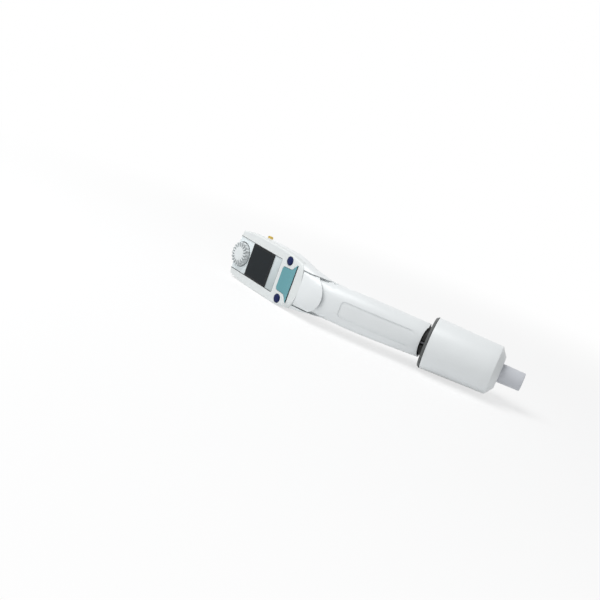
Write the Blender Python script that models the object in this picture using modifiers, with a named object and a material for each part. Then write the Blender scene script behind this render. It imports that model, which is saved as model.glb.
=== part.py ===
# Large-volume electronic pipette, modelled piece by piece.
# Units are metres. The instrument is drawn along its own axis: local Z runs from the tip end to
# the head, local X to its right flank and local Y to its back. An empty then lays it on its left
# flank, so that the tip points along world +X and the display faces world -Y.

import math

import bpy
import bmesh

# General clearances and walls
GAP = 0.0003
WALL = 0.0017
EPS = 0.00001

# Widest stretch of the head
HEAD_HALF_WIDTH = 0.0240

# Tip cone and the filter in its end
TIP_RADIUS = 0.00775
TIP_ROOT_RADIUS = 0.0081
TIP_BORE_RADIUS = 0.0056
TIP_SHOULDER_Z = 0.0272
TIP_SHOULDER_HEIGHT = 0.0036
FILTER_Z = 0.0022
FILTER_LENGTH = 0.0075

# Cylinder, its head and neck
CYLINDER_RADIUS = 0.0166
CYLINDER_BORE_RADIUS = 0.0144
CYLINDER_TOP_Z = 0.0600
CYLINDER_HEAD_HEIGHT = 0.0055
NECK_RADIUS = 0.0090
NECK_BORE_RADIUS = 0.0064
NECK_TOP_Z = 0.0940

# Piston, seal and rod
PISTON_RADIUS = 0.0138
PISTON_Z = 0.0334
PISTON_HEIGHT = 0.0076
SEAL_RADIUS = 0.0141
SEAL_HEIGHT = 0.0022
SEAL_DEPTH = 0.0014
ROD_RADIUS = 0.0044
ROD_BORE_RADIUS = 0.0025
ROD_TOP_Z = 0.1080
PISTON_STROKE = 0.0160

# Drive: nut, screw, frame, gearbox and motor
NUT_RADIUS = 0.0062
NUT_HEIGHT = 0.0070
NUT_EAR_WIDTH = 0.0030
NUT_EAR_REACH = 0.0084
SCREW_RADIUS = 0.0020
SCREW_BOTTOM_Z = 0.0790
FRAME_RADIUS = 0.0089
FRAME_WALL = 0.0014
FRAME_TOP_Z = 0.1370
FRAME_FLANGE = 0.0020
GEARBOX_RADIUS = 0.0080
GEARBOX_HEIGHT = 0.0070
MOTOR_RADIUS = 0.0078
MOTOR_HEIGHT = 0.0180

# Ejector sleeve and the ring that closes it
SLEEVE_BOTTOM_RADIUS = 0.0212
SLEEVE_TOP_RADIUS = 0.0229
SLEEVE_NOSE_RADIUS = 0.0138
SLEEVE_NOSE_Z = 0.0194
SLEEVE_EDGE_Z = 0.0243
SLEEVE_TOP_Z = 0.0818
SLEEVE_WALL = 0.0020
SLEEVE_HOLE_RADIUS = 0.0085
RING_OVERHANG = 0.0002
RING_RADIUS = SLEEVE_TOP_RADIUS + RING_OVERHANG
RING_HEIGHT = 0.0021
RING_BEVEL = 0.0013
RING_SKIRT_DEPTH = 0.0040
RING_SKIRT_WALL = 0.0013
RING_LUG_WIDTH = 0.0032

# Coupling collar between cylinder and handle
COLLAR_RADIUS = 0.0130
COLLAR_TOP_Z = 0.0945

# Ejector: button, rod and spring
EJECTOR_TRAVEL = 0.0070
EJECTOR_ROD_RADIUS = 0.0012
EJECTOR_ROD_Y = -0.0113
EJECTOR_ROD_TOP_Z = 0.1720
SPRING_WIRE_RADIUS = 0.00055
SPRING_RADIUS = 0.0158
SPRING_TURNS = 4
SPRING_TURN_POINTS = 12
SPRING_FLAT_TURNS = 0.6
BUTTON_HALF_WIDTH = 0.0164
BUTTON_EDGE_Y = -0.0040
BUTTON_LIP_Z = 0.1785
BUTTON_LIP_RISE = 0.0100
BUTTON_TOP_Z = 0.2019
BUTTON_SAG = 0.0048
BUTTON_SQUARENESS = 2.5
BUTTON_WALL = 0.0013
BUTTON_SEAM = 0.0005
TONGUE_SET_BACK = 0.0034
TONGUE_WALL = 0.0010
TONGUE_SHARE = 0.62
TONGUE_BOTTOM_Z = 0.1984
TONGUE_TOP_Z = 0.2090
BUTTON_ARM_WIDTH = 0.0060
BUTTON_ARM_THICKNESS = 0.0020
BUTTON_ARM_Y = -0.0082
BUTTON_ARM_TOP_Z = 0.1993
SHELF_HALF_WIDTH = 0.0080
SHELF_BOTTOM_Z = 0.1984
SHELF_TOP_Z = 0.1998
POCKET_WALL_TOP_Z = 0.2030

# Face of the head: a plane that leans back
FACE_LEAN = math.radians(30.18)
FACE_ORIGIN_Y = -0.0101
FACE_ORIGIN_Z = 0.2000
HEAD_SHOULDER = 0.0950
HEAD_CREST = 0.0971
HEAD_CREST_DEPTH = 0.0082
HEAD_TOP = 0.0984

# Handle
HANDLE_BOTTOM_Z = 0.0864
HANDLE_END_RADIUS = 0.0150
ARCH_HALF_WIDTH = 0.0130
ARCH_HEIGHT = 0.0021
LABEL_HALF_WIDTH = 0.0072
LABEL_BOTTOM_Z = 0.0955
LABEL_TOP_Z = 0.1610
LABEL_DEPTH = 0.0006
LABEL_CORNER = 0.0030

# Front bezel
BEZEL_DEPTH = 0.0060
BEZEL_PLATE = 0.0026
BEZEL_LOW_EDGE = 0.0022
BEZEL_EDGE_REACH = 0.0232
BEZEL_EDGE_RISE = 0.0150
BEZEL_EDGE_SQUARENESS = 2.2

# Display panel, window and module
PANEL_HALF_WIDTH = 0.0158
PANEL_BOTTOM = 0.0342
PANEL_TOP = 0.0979
PANEL_CROWN = 0.0016
PANEL_THICKNESS = 0.0008
PANEL_SINK = 0.0006
WINDOW_HALF_WIDTH = 0.0155
WINDOW_BOTTOM = 0.0444
WINDOW_TOP = 0.0757
WINDOW_THICKNESS = 0.0005
MODULE_HALF_WIDTH = 0.0132
MODULE_THICKNESS = 0.0030

# Selection dial
DIAL_CENTRE = 0.0890
DIAL_RADIUS = 0.0112
DIAL_HEIGHT = 0.0044
DIAL_SINK = 0.0012
DIAL_SHOULDER = 0.0014
DIAL_RIDGES = 18
DIAL_SCALLOP = 0.00035
DIAL_FURROW = 0.0006
DIAL_POCKET_GAP = 0.0007
DIAL_SHAFT_RADIUS = 0.0020

# Keys and rocker
KEY_RADIUS = 0.0039
KEY_OFFSET = 0.0178
KEY_HEIGHT_ON_FACE = 0.0241
KEY_PROUD = 0.0010
KEY_TRAVEL = 0.0008
ROCKER_TOP = 0.0295
ROCKER_TOP_HALF_WIDTH = 0.0109
ROCKER_NOTCH = 0.0186
ROCKER_NOTCH_HALF_WIDTH = 0.0114
ROCKER_BOTTOM = 0.0122
ROCKER_BOTTOM_HALF_WIDTH = 0.0172
ROCKER_PROUD = 0.0004
ROCKER_THICKNESS = 0.0024
ROCKER_PIVOT = 0.0200
ROCKER_PIVOT_DEPTH = 0.0036
ROCKER_DISH = 0.0006
ROCKER_PIN_RADIUS = 0.0007
ROCKER_LUG_IN = 0.0121
ROCKER_LUG_OUT = 0.0142

# Electronics
BOARD_DEPTH = 0.0072
BOARD_THICKNESS = 0.0012
BOARD_HALF_WIDTH = 0.0180
BOARD_BOTTOM = 0.0180
BOARD_TOP = 0.0800
BATTERY_HALF_WIDTH = 0.0122
BATTERY_BOTTOM = 0.0275
BATTERY_TOP = 0.0650
BATTERY_THICKNESS = 0.0060
BATTERY_DEPTH = 0.0110

# Battery cover on the back
COVER_HALF_WIDTH = 0.0132
COVER_BOTTOM = 0.0262
COVER_TOP = 0.0665
COVER_CORNER = 0.0040

# Charging contacts
# The bench holds the left one pressed in against its spring
CONTACT_INNER = 0.0200
CONTACT_OUT = 0.0256
CONTACT_PRESSED = 0.0237
CONTACT_BOTTOM = 0.0706
CONTACT_LENGTH = 0.0040
CONTACT_NEAR = 0.0116
CONTACT_FAR = 0.0150

# Finger rest behind the waist
FINGER_HALF_WIDTH = 0.0076
FINGER_TIP_Y = 0.0320
FINGER_TOP_Z = 0.2075
FINGER_THICKNESS = 0.0042
FINGER_DROP = 0.0095

# Round part quality
WIDE_STEPS = 48
ROUND_STEPS = 36
SMALL_STEPS = 20
CORNER_STEPS = 9


def clear_scene():
    for obj in list(bpy.data.objects):
        bpy.data.objects.remove(obj, do_unlink=True)


def make_collection(name):
    collection = bpy.data.collections.new(name)
    bpy.context.scene.collection.children.link(collection)
    return collection


def make_material(name, colour, roughness, metallic=0.0):
    material = bpy.data.materials.new(name)
    material.use_nodes = True
    shader = material.node_tree.nodes["Principled BSDF"]
    shader.inputs["Base Color"].default_value = (*colour, 1.0)
    shader.inputs["Roughness"].default_value = roughness
    shader.inputs["Metallic"].default_value = metallic
    return material


clear_scene()
PARTS = make_collection("electronic_pipette")
CUTTERS = make_collection("cutters")


def make_empty(name, location, rotation, parent=None):
    empty = bpy.data.objects.new(name, None)
    empty.location = location
    empty.rotation_euler = rotation
    empty.parent = parent
    PARTS.objects.link(empty)
    return empty


def finish(name, mesh, parent, material=None, location=(0.0, 0.0, 0.0), smooth=True):
    obj = bpy.data.objects.new(name, mesh)
    obj.parent = parent
    obj.location = location
    if material is None:
        CUTTERS.objects.link(obj)
        obj.hide_render = True
        obj.display_type = "WIRE"
        return obj
    mesh.materials.clear()
    mesh.materials.append(material)
    if smooth:
        mesh.shade_smooth()
        mesh.set_sharp_from_angle(angle=math.radians(35.0))
    PARTS.objects.link(obj)
    return obj


def mesh_from(bm, name):
    mesh = bpy.data.meshes.new(name)
    bm.to_mesh(mesh)
    bm.free()
    return mesh


def turned(name, profile, parent, material=None, steps=ROUND_STEPS, location=(0.0, 0.0, 0.0)):
    # The profile holds (radius, height) points that run down the outer side. It closes on itself
    # unless both its ends lie on the axis.
    bm = bmesh.new()
    points = [bm.verts.new((radius, 0.0, height)) for radius, height in profile]
    for first, second in zip(points, points[1:]):
        bm.edges.new((first, second))
    if profile[0][0] > EPS or profile[-1][0] > EPS:
        bm.edges.new((points[-1], points[0]))
    obj = finish(name, mesh_from(bm, name), parent, material, location)
    screw = obj.modifiers.new("turn", "SCREW")
    screw.axis = "Z"
    screw.steps = steps
    screw.render_steps = steps
    screw.use_merge_vertices = True
    screw.merge_threshold = EPS
    screw.use_smooth_shade = True
    return obj


def ring_profile(outer, inner, bottom, top):
    return [(outer, top), (outer, bottom), (inner, bottom), (inner, top)]


def disc_profile(radius, bottom, top):
    return [(0.0, top), (radius, top), (radius, bottom), (0.0, bottom)]


def loft(name, rings, parent, material=None):
    # Rings run anticlockwise seen from above and follow each other upwards.
    bm = bmesh.new()
    rows = [[bm.verts.new(point) for point in ring] for ring in rings]
    count = len(rings[0])
    for low, high in zip(rows, rows[1:]):
        for index in range(count):
            after = (index + 1) % count
            bm.faces.new((low[index], low[after], high[after], high[index]))
    bm.faces.new(list(reversed(rows[0])))
    bm.faces.new(rows[-1])
    return finish(name, mesh_from(bm, name), parent, material)


def plate(name, outline, low, high, parent, material=None, location=(0.0, 0.0, 0.0), bevel=0.0):
    # A flat outline in local XY, between two heights along local Z.
    curve = bpy.data.curves.new(name + "_outline", "CURVE")
    curve.dimensions = "2D"
    curve.fill_mode = "BOTH"
    curve.extrude = (high - low) / 2.0
    spline = curve.splines.new("POLY")
    spline.points.add(len(outline) - 1)
    for point, (x, y) in zip(spline.points, outline):
        point.co = (x, y, 0.0, 1.0)
    spline.use_cyclic_u = True
    outline_object = bpy.data.objects.new(name + "_outline", curve)
    CUTTERS.objects.link(outline_object)
    depsgraph = bpy.context.evaluated_depsgraph_get()
    mesh = bpy.data.meshes.new_from_object(outline_object.evaluated_get(depsgraph))
    bpy.data.objects.remove(outline_object, do_unlink=True)
    bm = bmesh.new()
    bm.from_mesh(mesh)
    bmesh.ops.remove_doubles(bm, verts=bm.verts, dist=EPS)
    bmesh.ops.dissolve_limit(bm, angle_limit=math.radians(1.0), verts=bm.verts, edges=bm.edges)
    bmesh.ops.translate(bm, verts=bm.verts, vec=(0.0, 0.0, (high + low) / 2.0))
    bm.to_mesh(mesh)
    bm.free()
    mesh.name = name
    obj = finish(name, mesh, parent, material, location)
    if bevel > 0.0:
        add_bevel(obj, bevel)
    return obj


def box(name, low, high, parent, material=None, bevel=0.0):
    bm = bmesh.new()
    bmesh.ops.create_cube(bm, size=1.0)
    size = [top - bottom for bottom, top in zip(low, high)]
    centre = [(top + bottom) / 2.0 for bottom, top in zip(low, high)]
    bmesh.ops.scale(bm, verts=bm.verts, vec=size)
    bmesh.ops.translate(bm, verts=bm.verts, vec=centre)
    obj = finish(name, mesh_from(bm, name), parent, material)
    if bevel > 0.0:
        add_bevel(obj, bevel)
    return obj


def add_bevel(obj, width, segments=1, angle=50.0):
    bevel = obj.modifiers.new("rounded_edges", "BEVEL")
    bevel.width = width
    bevel.segments = segments
    bevel.limit_method = "ANGLE"
    bevel.angle_limit = math.radians(angle)
    return bevel


def boolean(obj, other, operation="DIFFERENCE"):
    modifier = obj.modifiers.new(other.name, "BOOLEAN")
    modifier.operation = operation
    modifier.solver = "EXACT"
    modifier.object = other
    return modifier


def rounded_outline(half_width, bottom, top, corner, steps=4):
    points = []
    corners = [
        (half_width - corner, bottom + corner, -90.0),
        (half_width - corner, top - corner, 0.0),
        (corner - half_width, top - corner, 90.0),
        (corner - half_width, bottom + corner, 180.0),
    ]
    for centre_x, centre_y, start in corners:
        for step in range(steps + 1):
            angle = math.radians(start + 90.0 * step / steps)
            points.append((centre_x + corner * math.cos(angle), centre_y + corner * math.sin(angle)))
    return points


def oval_outline(radius_x, radius_y, centre, steps=SMALL_STEPS):
    points = []
    for step in range(steps):
        angle = 2.0 * math.pi * step / steps
        points.append((centre[0] + radius_x * math.cos(angle), centre[1] + radius_y * math.sin(angle)))
    return points


# Frames that carry the pieces

# The tip end and the dial's uppermost ridge are the two ends, the ring's front and the head's back
# the two sides, and the head lies on the bench
DIAL_CREST = (DIAL_RADIUS + DIAL_SCALLOP) * math.cos(math.pi / DIAL_RIDGES)
TOTAL_LENGTH = FACE_ORIGIN_Z + (DIAL_CENTRE + DIAL_CREST) * math.cos(FACE_LEAN)
TOTAL_LENGTH += (DIAL_HEIGHT - DIAL_SINK - DIAL_SHOULDER) * math.sin(FACE_LEAN)
BACK_Y = FACE_ORIGIN_Y + HEAD_CREST * math.sin(FACE_LEAN) + HEAD_CREST_DEPTH * math.cos(FACE_LEAN)
AXIS = make_empty(
    "instrument_axis",
    (TOTAL_LENGTH / 2.0, (RING_RADIUS - BACK_Y) / 2.0, HEAD_HALF_WIDTH),
    (0.0, -math.pi / 2.0, 0.0),
)
# In this frame X is across the face, Y runs up the face and Z stands out of it
FACE = make_empty(
    "face_plane",
    (0.0, FACE_ORIGIN_Y, FACE_ORIGIN_Z),
    (math.pi / 2.0 - FACE_LEAN, 0.0, 0.0),
    AXIS,
)

WHITE = make_material("white_shell", (0.86, 0.88, 0.89), 0.32)
BEZEL_WHITE = make_material("bezel_plastic", (0.78, 0.80, 0.80), 0.38)
SILVER = make_material("silver_panel", (0.80, 0.83, 0.84), 0.35)
DARK_GLASS = make_material("dark_window", (0.03, 0.035, 0.04), 0.12)
NAVY = make_material("navy_key", (0.015, 0.018, 0.09), 0.4)
TURQUOISE = make_material("turquoise_rocker", (0.10, 0.33, 0.38), 0.4)
BLACK = make_material("black_plastic", (0.012, 0.012, 0.012), 0.45)
GREY = make_material("grey_ring", (0.16, 0.17, 0.17), 0.45)
CONE_GREY = make_material("cone_plastic", (0.50, 0.53, 0.56), 0.4)
STEEL = make_material("steel", (0.6, 0.6, 0.6), 0.3, 1.0)
GOLD = make_material("gold_contact", (0.85, 0.55, 0.15), 0.25, 1.0)
RUBBER = make_material("seal_rubber", (0.03, 0.03, 0.03), 0.7)
CLEAR = make_material("cylinder_plastic", (0.75, 0.70, 0.55), 0.3)
FOAM = make_material("filter_foam", (0.9, 0.9, 0.88), 0.9)
BOARD_GREEN = make_material("board_green", (0.03, 0.18, 0.07), 0.5)
BATTERY_BLUE = make_material("battery_wrap", (0.10, 0.12, 0.16), 0.5)
BRASS = make_material("brass_nut", (0.70, 0.50, 0.20), 0.35, 1.0)


def face_point(across, up, depth):
    # A point given on the leaning face, in the instrument's own axes.
    return (
        across,
        FACE_ORIGIN_Y + up * math.sin(FACE_LEAN) + depth * math.cos(FACE_LEAN),
        FACE_ORIGIN_Z + up * math.cos(FACE_LEAN) - depth * math.sin(FACE_LEAN),
    )


# Outer form of the body: handle, waist and head as one loft
# Handle rows: height, front, depth, half width, front corner (x, y), back corner (x, y)
HANDLE_ROWS = [
    (HANDLE_BOTTOM_Z, -HANDLE_END_RADIUS, 2.0 * HANDLE_END_RADIUS) + (HANDLE_END_RADIUS,) * 5,
    (0.0925, -0.0153, 0.0305, 0.0153, 0.0150, 0.0150, 0.0153, 0.0153),
    (0.1040, -0.0160, 0.0309, 0.0156, 0.0140, 0.0140, 0.0156, 0.0156),
    (0.1200, -0.0168, 0.0312, 0.0159, 0.0134, 0.0130, 0.0159, 0.0159),
    (0.1380, -0.0173, 0.0307, 0.0164, 0.0132, 0.0126, 0.0162, 0.0158),
    (0.1530, -0.0173, 0.0299, 0.0164, 0.0132, 0.0124, 0.0161, 0.0154),
    (0.1660, -0.0166, 0.0288, 0.0161, 0.0130, 0.0120, 0.0156, 0.0148),
    (0.1740, -0.0153, 0.0278, 0.0164, 0.0130, 0.0116, 0.0154, 0.0146),
]
# Head rows: distance up the face, depth, half width, front corner, back corner (x, y)
HEAD_ROWS = [
    (0.0030, 0.0246, 0.0199, 0.0100, 0.0070, 0.0150, 0.0130),
    (0.0120, 0.0236, 0.0215, 0.0060, 0.0030, 0.0130, 0.0110),
    (0.0210, 0.0230, 0.0232, 0.0026, 0.0016, 0.0115, 0.0090),
    (0.0300, 0.0225, HEAD_HALF_WIDTH, 0.0014, 0.0012, 0.0100, 0.0078),
    (0.0460, 0.0216, HEAD_HALF_WIDTH, 0.0012, 0.0012, 0.0092, 0.0070),
    (0.0600, 0.0200, HEAD_HALF_WIDTH, 0.0012, 0.0012, 0.0090, 0.0066),
    (0.0720, 0.0176, 0.0238, 0.0012, 0.0012, 0.0090, 0.0064),
    (0.0820, 0.0148, 0.0232, 0.0012, 0.0012, 0.0090, 0.0062),
    (0.0900, 0.0118, 0.0223, 0.0012, 0.0012, 0.0086, 0.0056),
    (HEAD_SHOULDER, 0.0094, 0.0213, 0.0012, 0.0012, 0.0070, 0.0046),
]
# The head's rounded end, solid above the shoulder
CAP_ROWS = [
    (HEAD_CREST, HEAD_CREST_DEPTH, 0.0150, 0.0012, 0.0012, 0.0060, 0.0040),
    (HEAD_TOP, 0.0070, 0.0070, 0.0012, 0.0012, 0.0040, 0.0034),
]
# Rows of the waist, which turn from the handle's planes to the head's
# Height and front of the section's front edge, share of the full lean, then as the handle rows
WAIST_ROWS = [
    (0.1810, -0.0134, 0.11, 0.0260, 0.0169, 0.0124, 0.0096, 0.0154, 0.0140),
    (0.1880, -0.0126, 0.36, 0.0262, 0.0179, 0.0120, 0.0100, 0.0156, 0.0138),
    (0.1955, -0.0116, 0.68, 0.0262, 0.0190, 0.0110, 0.0086, 0.0154, 0.0136),
]


def section(front_y, front_z, lean, depth, half_width, front_corner, back_corner, inset=0.0):
    # A rounded rectangle with its own corner radii in front and behind, on a leaning plane.
    front_x, front_d = [max(size - inset, 0.0004) for size in front_corner]
    back_x, back_d = [max(size - inset, 0.0004) for size in back_corner]
    wide = half_width - inset
    near = inset
    far = depth - inset
    centres = [
        (wide - back_x, far - back_d, back_x, back_d, 0.0),
        (back_x - wide, far - back_d, back_x, back_d, 90.0),
        (front_x - wide, near + front_d, front_x, front_d, 180.0),
        (wide - front_x, near + front_d, front_x, front_d, 270.0),
    ]
    ring = []
    for centre_x, centre_d, radius_x, radius_d, start in centres:
        for step in range(CORNER_STEPS):
            angle = math.radians(start + 90.0 * step / (CORNER_STEPS - 1))
            across = centre_x + radius_x * math.cos(angle)
            deep = centre_d + radius_d * math.sin(angle)
            ring.append((across, front_y + deep * math.cos(lean), front_z - deep * math.sin(lean)))
    return ring


def body_rows():
    # Every row in one form: front edge's Y and Z, lean, then depth, half width and corner sizes.
    rows = [(front, z, 0.0) + tuple(sizes) for z, front, *sizes in HANDLE_ROWS]
    rows += [(front, z, share * FACE_LEAN) + tuple(sizes) for z, front, share, *sizes in WAIST_ROWS]
    for up, *sizes in HEAD_ROWS:
        across, y, z = face_point(0.0, up, 0.0)
        rows.append((y, z, FACE_LEAN) + tuple(sizes))
    return rows


def row_ring(row, inset):
    front, z, lean, depth, wide, front_x, front_d, back_x, back_d = row
    return section(front, z, lean, depth, wide, (front_x, front_d), (back_x, back_d), inset)


def body_rings(inset=0.0):
    return [row_ring(row, inset) for row in body_rows()]


def outer_rings(inset=0.0):
    rings = body_rings(inset)
    for up, *sizes in CAP_ROWS:
        across, y, z = face_point(0.0, up, 0.0)
        rings.append(row_ring((y, z, FACE_LEAN) + tuple(sizes), inset))
    return rings


def body_form(name, inset):
    return loft(name, outer_rings(inset), AXIS)


def cavity_form(name, inset):
    # The hollow of the body: it runs out of the handle's mouth and stops below the head's shoulder.
    rings = body_rings(inset)
    mouth = [(x, y, z - 0.010) for x, y, z in rings[0]]
    top = rings[-1]
    crown = [(x, y - inset * math.sin(FACE_LEAN), z - inset * math.cos(FACE_LEAN)) for x, y, z in top]
    return loft(name, [mouth] + rings[1:-1] + [crown], AXIS)


def bezel_edge(across):
    # Lower edge of the bezel, measured up the face.
    share = min(abs(across) / BEZEL_EDGE_REACH, 1.0)
    drop = (1.0 - share ** BEZEL_EDGE_SQUARENESS) ** (1.0 / BEZEL_EDGE_SQUARENESS)
    return BEZEL_LOW_EDGE + BEZEL_EDGE_RISE * (1.0 - drop)


def bezel_region(name, gap, depth):
    # A block over the face, above the bezel's lower edge.
    side = 0.030
    top = 0.120
    outline = [(-side, top), (-side, bezel_edge(side) - gap)]
    for step in range(25):
        across = BEZEL_EDGE_REACH * math.sin(math.pi / 2.0 * (step / 12.0 - 1.0))
        outline.append((across, bezel_edge(across) - gap))
    outline += [(side, bezel_edge(side) - gap), (side, top)]
    return plate(name, outline, -depth, 0.010, FACE)


def button_crown(z):
    # The button's middle line follows the face and sags away from it towards the lip.
    below = max(BUTTON_TOP_Z - z, 0.0) / (BUTTON_TOP_Z - BUTTON_LIP_Z)
    return FACE_ORIGIN_Y + (z - FACE_ORIGIN_Z) * math.tan(FACE_LEAN) + BUTTON_SAG * below * below


def button_depth(share, crown, edge):
    # Half a superellipse across the button, with share from -1 to 1.
    return edge - (edge - crown) * (1.0 - abs(share) ** BUTTON_SQUARENESS) ** (1.0 / BUTTON_SQUARENESS)


def button_lip(across):
    return BUTTON_LIP_Z + BUTTON_LIP_RISE * (abs(across) / BUTTON_HALF_WIDTH) ** 2.4


def button_top(share):
    # The height at which the button's surface meets the bezel's lower edge, less a seam.
    edge = bezel_edge(BUTTON_HALF_WIDTH * share) - BUTTON_SEAM
    z = BUTTON_TOP_Z
    for _ in range(8):
        y = button_depth(share, button_crown(z), BUTTON_EDGE_Y)
        z = FACE_ORIGIN_Z + (edge - (y - FACE_ORIGIN_Y) * math.sin(FACE_LEAN)) / math.cos(FACE_LEAN)
    return z


def button_surface(name, material, columns=18, rows=8):
    bm = bmesh.new()
    grid = []
    for row in range(rows + 1):
        line = []
        for column in range(columns + 1):
            share = math.sin(math.pi / 2.0 * (2.0 * column / columns - 1.0))
            across = BUTTON_HALF_WIDTH * share
            low = button_lip(across)
            z = low + (button_top(share) - low) * row / rows
            y = button_depth(share, button_crown(z), BUTTON_EDGE_Y)
            line.append(bm.verts.new((across, y, z)))
        grid.append(line)
    for low, high in zip(grid, grid[1:]):
        for column in range(columns):
            bm.faces.new((low[column], low[column + 1], high[column + 1], high[column]))
    obj = finish(name, mesh_from(bm, name), AXIS, material)
    shell = obj.modifiers.new("wall", "SOLIDIFY")
    shell.thickness = BUTTON_WALL
    shell.offset = -1.0
    return obj


def button_path(name, clearance):
    # Everything in front of the button's inner side over its whole travel.
    inner = BUTTON_HALF_WIDTH - BUTTON_WALL - clearance
    outer = BUTTON_HALF_WIDTH + GAP
    edge = BUTTON_EDGE_Y + GAP
    low = BUTTON_LIP_Z - EJECTOR_TRAVEL - GAP
    high = 0.2145
    rings = []
    for row in range(17):
        z = low + (high - low) * row / 16.0
        crown = button_crown(z + EJECTOR_TRAVEL) + BUTTON_WALL + clearance
        ring = [(-outer, -0.040, z), (outer, -0.040, z), (outer, edge, z)]
        for step in range(21):
            share = math.sin(math.pi / 2.0 * (1.0 - 2.0 * step / 20.0))
            ring.append((inner * share, min(button_depth(share, crown, edge), edge), z))
        ring.append((-outer, edge, z))
        rings.append(ring)
    return loft(name, rings, AXIS)


# Lower part: tip cone, cylinder, piston and ejector sleeve

SHOULDER_TOP_Z = TIP_SHOULDER_Z + TIP_SHOULDER_HEIGHT
HEAD_SEAT_Z = CYLINDER_TOP_Z + GAP + CYLINDER_HEAD_HEIGHT
RING_TOP_Z = SLEEVE_TOP_Z + RING_HEIGHT
GROOVE_BOTTOM = EJECTOR_ROD_Y + EJECTOR_ROD_RADIUS + GAP


def build_tip_cone():
    profile = [
        (CYLINDER_RADIUS, SHOULDER_TOP_Z),
        (CYLINDER_RADIUS, TIP_SHOULDER_Z),
        (TIP_ROOT_RADIUS + 0.0012, TIP_SHOULDER_Z),
        (TIP_ROOT_RADIUS, TIP_SHOULDER_Z - 0.0012),
        (TIP_ROOT_RADIUS, SLEEVE_NOSE_Z),
        (TIP_RADIUS, 0.0006),
        (TIP_RADIUS - 0.0005, 0.0),
        (TIP_BORE_RADIUS, 0.0),
        (TIP_BORE_RADIUS, SHOULDER_TOP_Z),
    ]
    turned("tip_cone", profile, AXIS, CONE_GREY)
    turned(
        "cone_filter",
        disc_profile(TIP_BORE_RADIUS - GAP, FILTER_Z, FILTER_Z + FILTER_LENGTH),
        AXIS,
        FOAM,
        SMALL_STEPS,
    )


def build_cylinder():
    low = SHOULDER_TOP_Z + GAP
    turned("cylinder", ring_profile(CYLINDER_RADIUS, CYLINDER_BORE_RADIUS, low, CYLINDER_TOP_Z), AXIS, CLEAR)
    head_low = CYLINDER_TOP_Z + GAP
    wide = CYLINDER_RADIUS + 0.0006
    profile = [
        (NECK_RADIUS, NECK_TOP_Z),
        (NECK_RADIUS, HEAD_SEAT_Z),
        (wide, HEAD_SEAT_Z),
        (wide, head_low),
        (NECK_BORE_RADIUS, head_low),
        (NECK_BORE_RADIUS, NECK_TOP_Z),
    ]
    turned("cylinder_head", profile, AXIS, BLACK)


def build_piston():
    top = PISTON_Z + PISTON_HEIGHT
    groove_low = PISTON_Z + (PISTON_HEIGHT - SEAL_HEIGHT) / 2.0 - GAP
    groove_high = groove_low + SEAL_HEIGHT + 2.0 * GAP
    floor = PISTON_RADIUS - SEAL_DEPTH
    profile = [
        (0.0, top),
        (PISTON_RADIUS, top),
        (PISTON_RADIUS, groove_high),
        (floor, groove_high),
        (floor, groove_low),
        (PISTON_RADIUS, groove_low),
        (PISTON_RADIUS, PISTON_Z),
        (0.0, PISTON_Z),
    ]
    turned("piston", profile, AXIS, CONE_GREY)
    seal_low = groove_low + GAP
    seal = [
        (SEAL_RADIUS - 0.0006, seal_low + SEAL_HEIGHT),
        (SEAL_RADIUS, seal_low + SEAL_HEIGHT / 2.0),
        (SEAL_RADIUS - 0.0006, seal_low),
        (floor + GAP, seal_low),
        (floor + GAP, seal_low + SEAL_HEIGHT),
    ]
    turned("piston_seal", seal, AXIS, RUBBER)
    bore_bottom = SCREW_BOTTOM_Z - PISTON_STROKE - 0.0010
    rod = [
        (0.0, bore_bottom),
        (ROD_BORE_RADIUS, bore_bottom),
        (ROD_BORE_RADIUS, ROD_TOP_Z),
        (ROD_RADIUS, ROD_TOP_Z),
        (ROD_RADIUS, top + GAP),
        (0.0, top + GAP),
    ]
    turned("piston_rod", rod, AXIS, STEEL, SMALL_STEPS)


def build_sleeve():
    top = SLEEVE_TOP_Z - GAP
    inner_edge = SLEEVE_BOTTOM_RADIUS - SLEEVE_WALL
    profile = [
        (SLEEVE_TOP_RADIUS, top),
        (SLEEVE_BOTTOM_RADIUS + 0.00003, SLEEVE_EDGE_Z + 0.0007),
        (SLEEVE_BOTTOM_RADIUS - 0.0006, SLEEVE_EDGE_Z - 0.0004),
        (SLEEVE_NOSE_RADIUS, SLEEVE_NOSE_Z),
        (SLEEVE_HOLE_RADIUS, SLEEVE_NOSE_Z),
        (SLEEVE_HOLE_RADIUS, SLEEVE_NOSE_Z + SLEEVE_WALL),
        (SLEEVE_NOSE_RADIUS - 0.0008, SLEEVE_NOSE_Z + SLEEVE_WALL),
        (inner_edge, SLEEVE_EDGE_Z + 0.0009),
        (SLEEVE_TOP_RADIUS - SLEEVE_WALL, top),
    ]
    turned("ejector_sleeve", profile, AXIS, WHITE, WIDE_STEPS)


def build_sleeve_ring():
    hole = COLLAR_RADIUS + 0.0004
    skirt = SLEEVE_TOP_RADIUS - SLEEVE_WALL - 0.0006
    skirt_low = SLEEVE_TOP_Z - RING_SKIRT_DEPTH
    profile = [
        (RING_RADIUS - RING_BEVEL, RING_TOP_Z),
        (RING_RADIUS, SLEEVE_TOP_Z),
        (skirt, SLEEVE_TOP_Z),
        (skirt, skirt_low),
        (skirt - RING_SKIRT_WALL, skirt_low),
        (skirt - RING_SKIRT_WALL, SLEEVE_TOP_Z),
        (hole, SLEEVE_TOP_Z),
        (hole, RING_TOP_Z),
    ]
    ring = turned("sleeve_ring", profile, AXIS, GREY, WIDE_STEPS)
    half = RING_LUG_WIDTH / 2.0
    lug_low = (-half, -hole - 0.0015, SLEEVE_TOP_Z)
    lug_high = (half, GROOVE_BOTTOM - 0.0004, RING_TOP_Z)
    boolean(ring, box("ring_lug", lug_low, lug_high, AXIS), "UNION")


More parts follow.
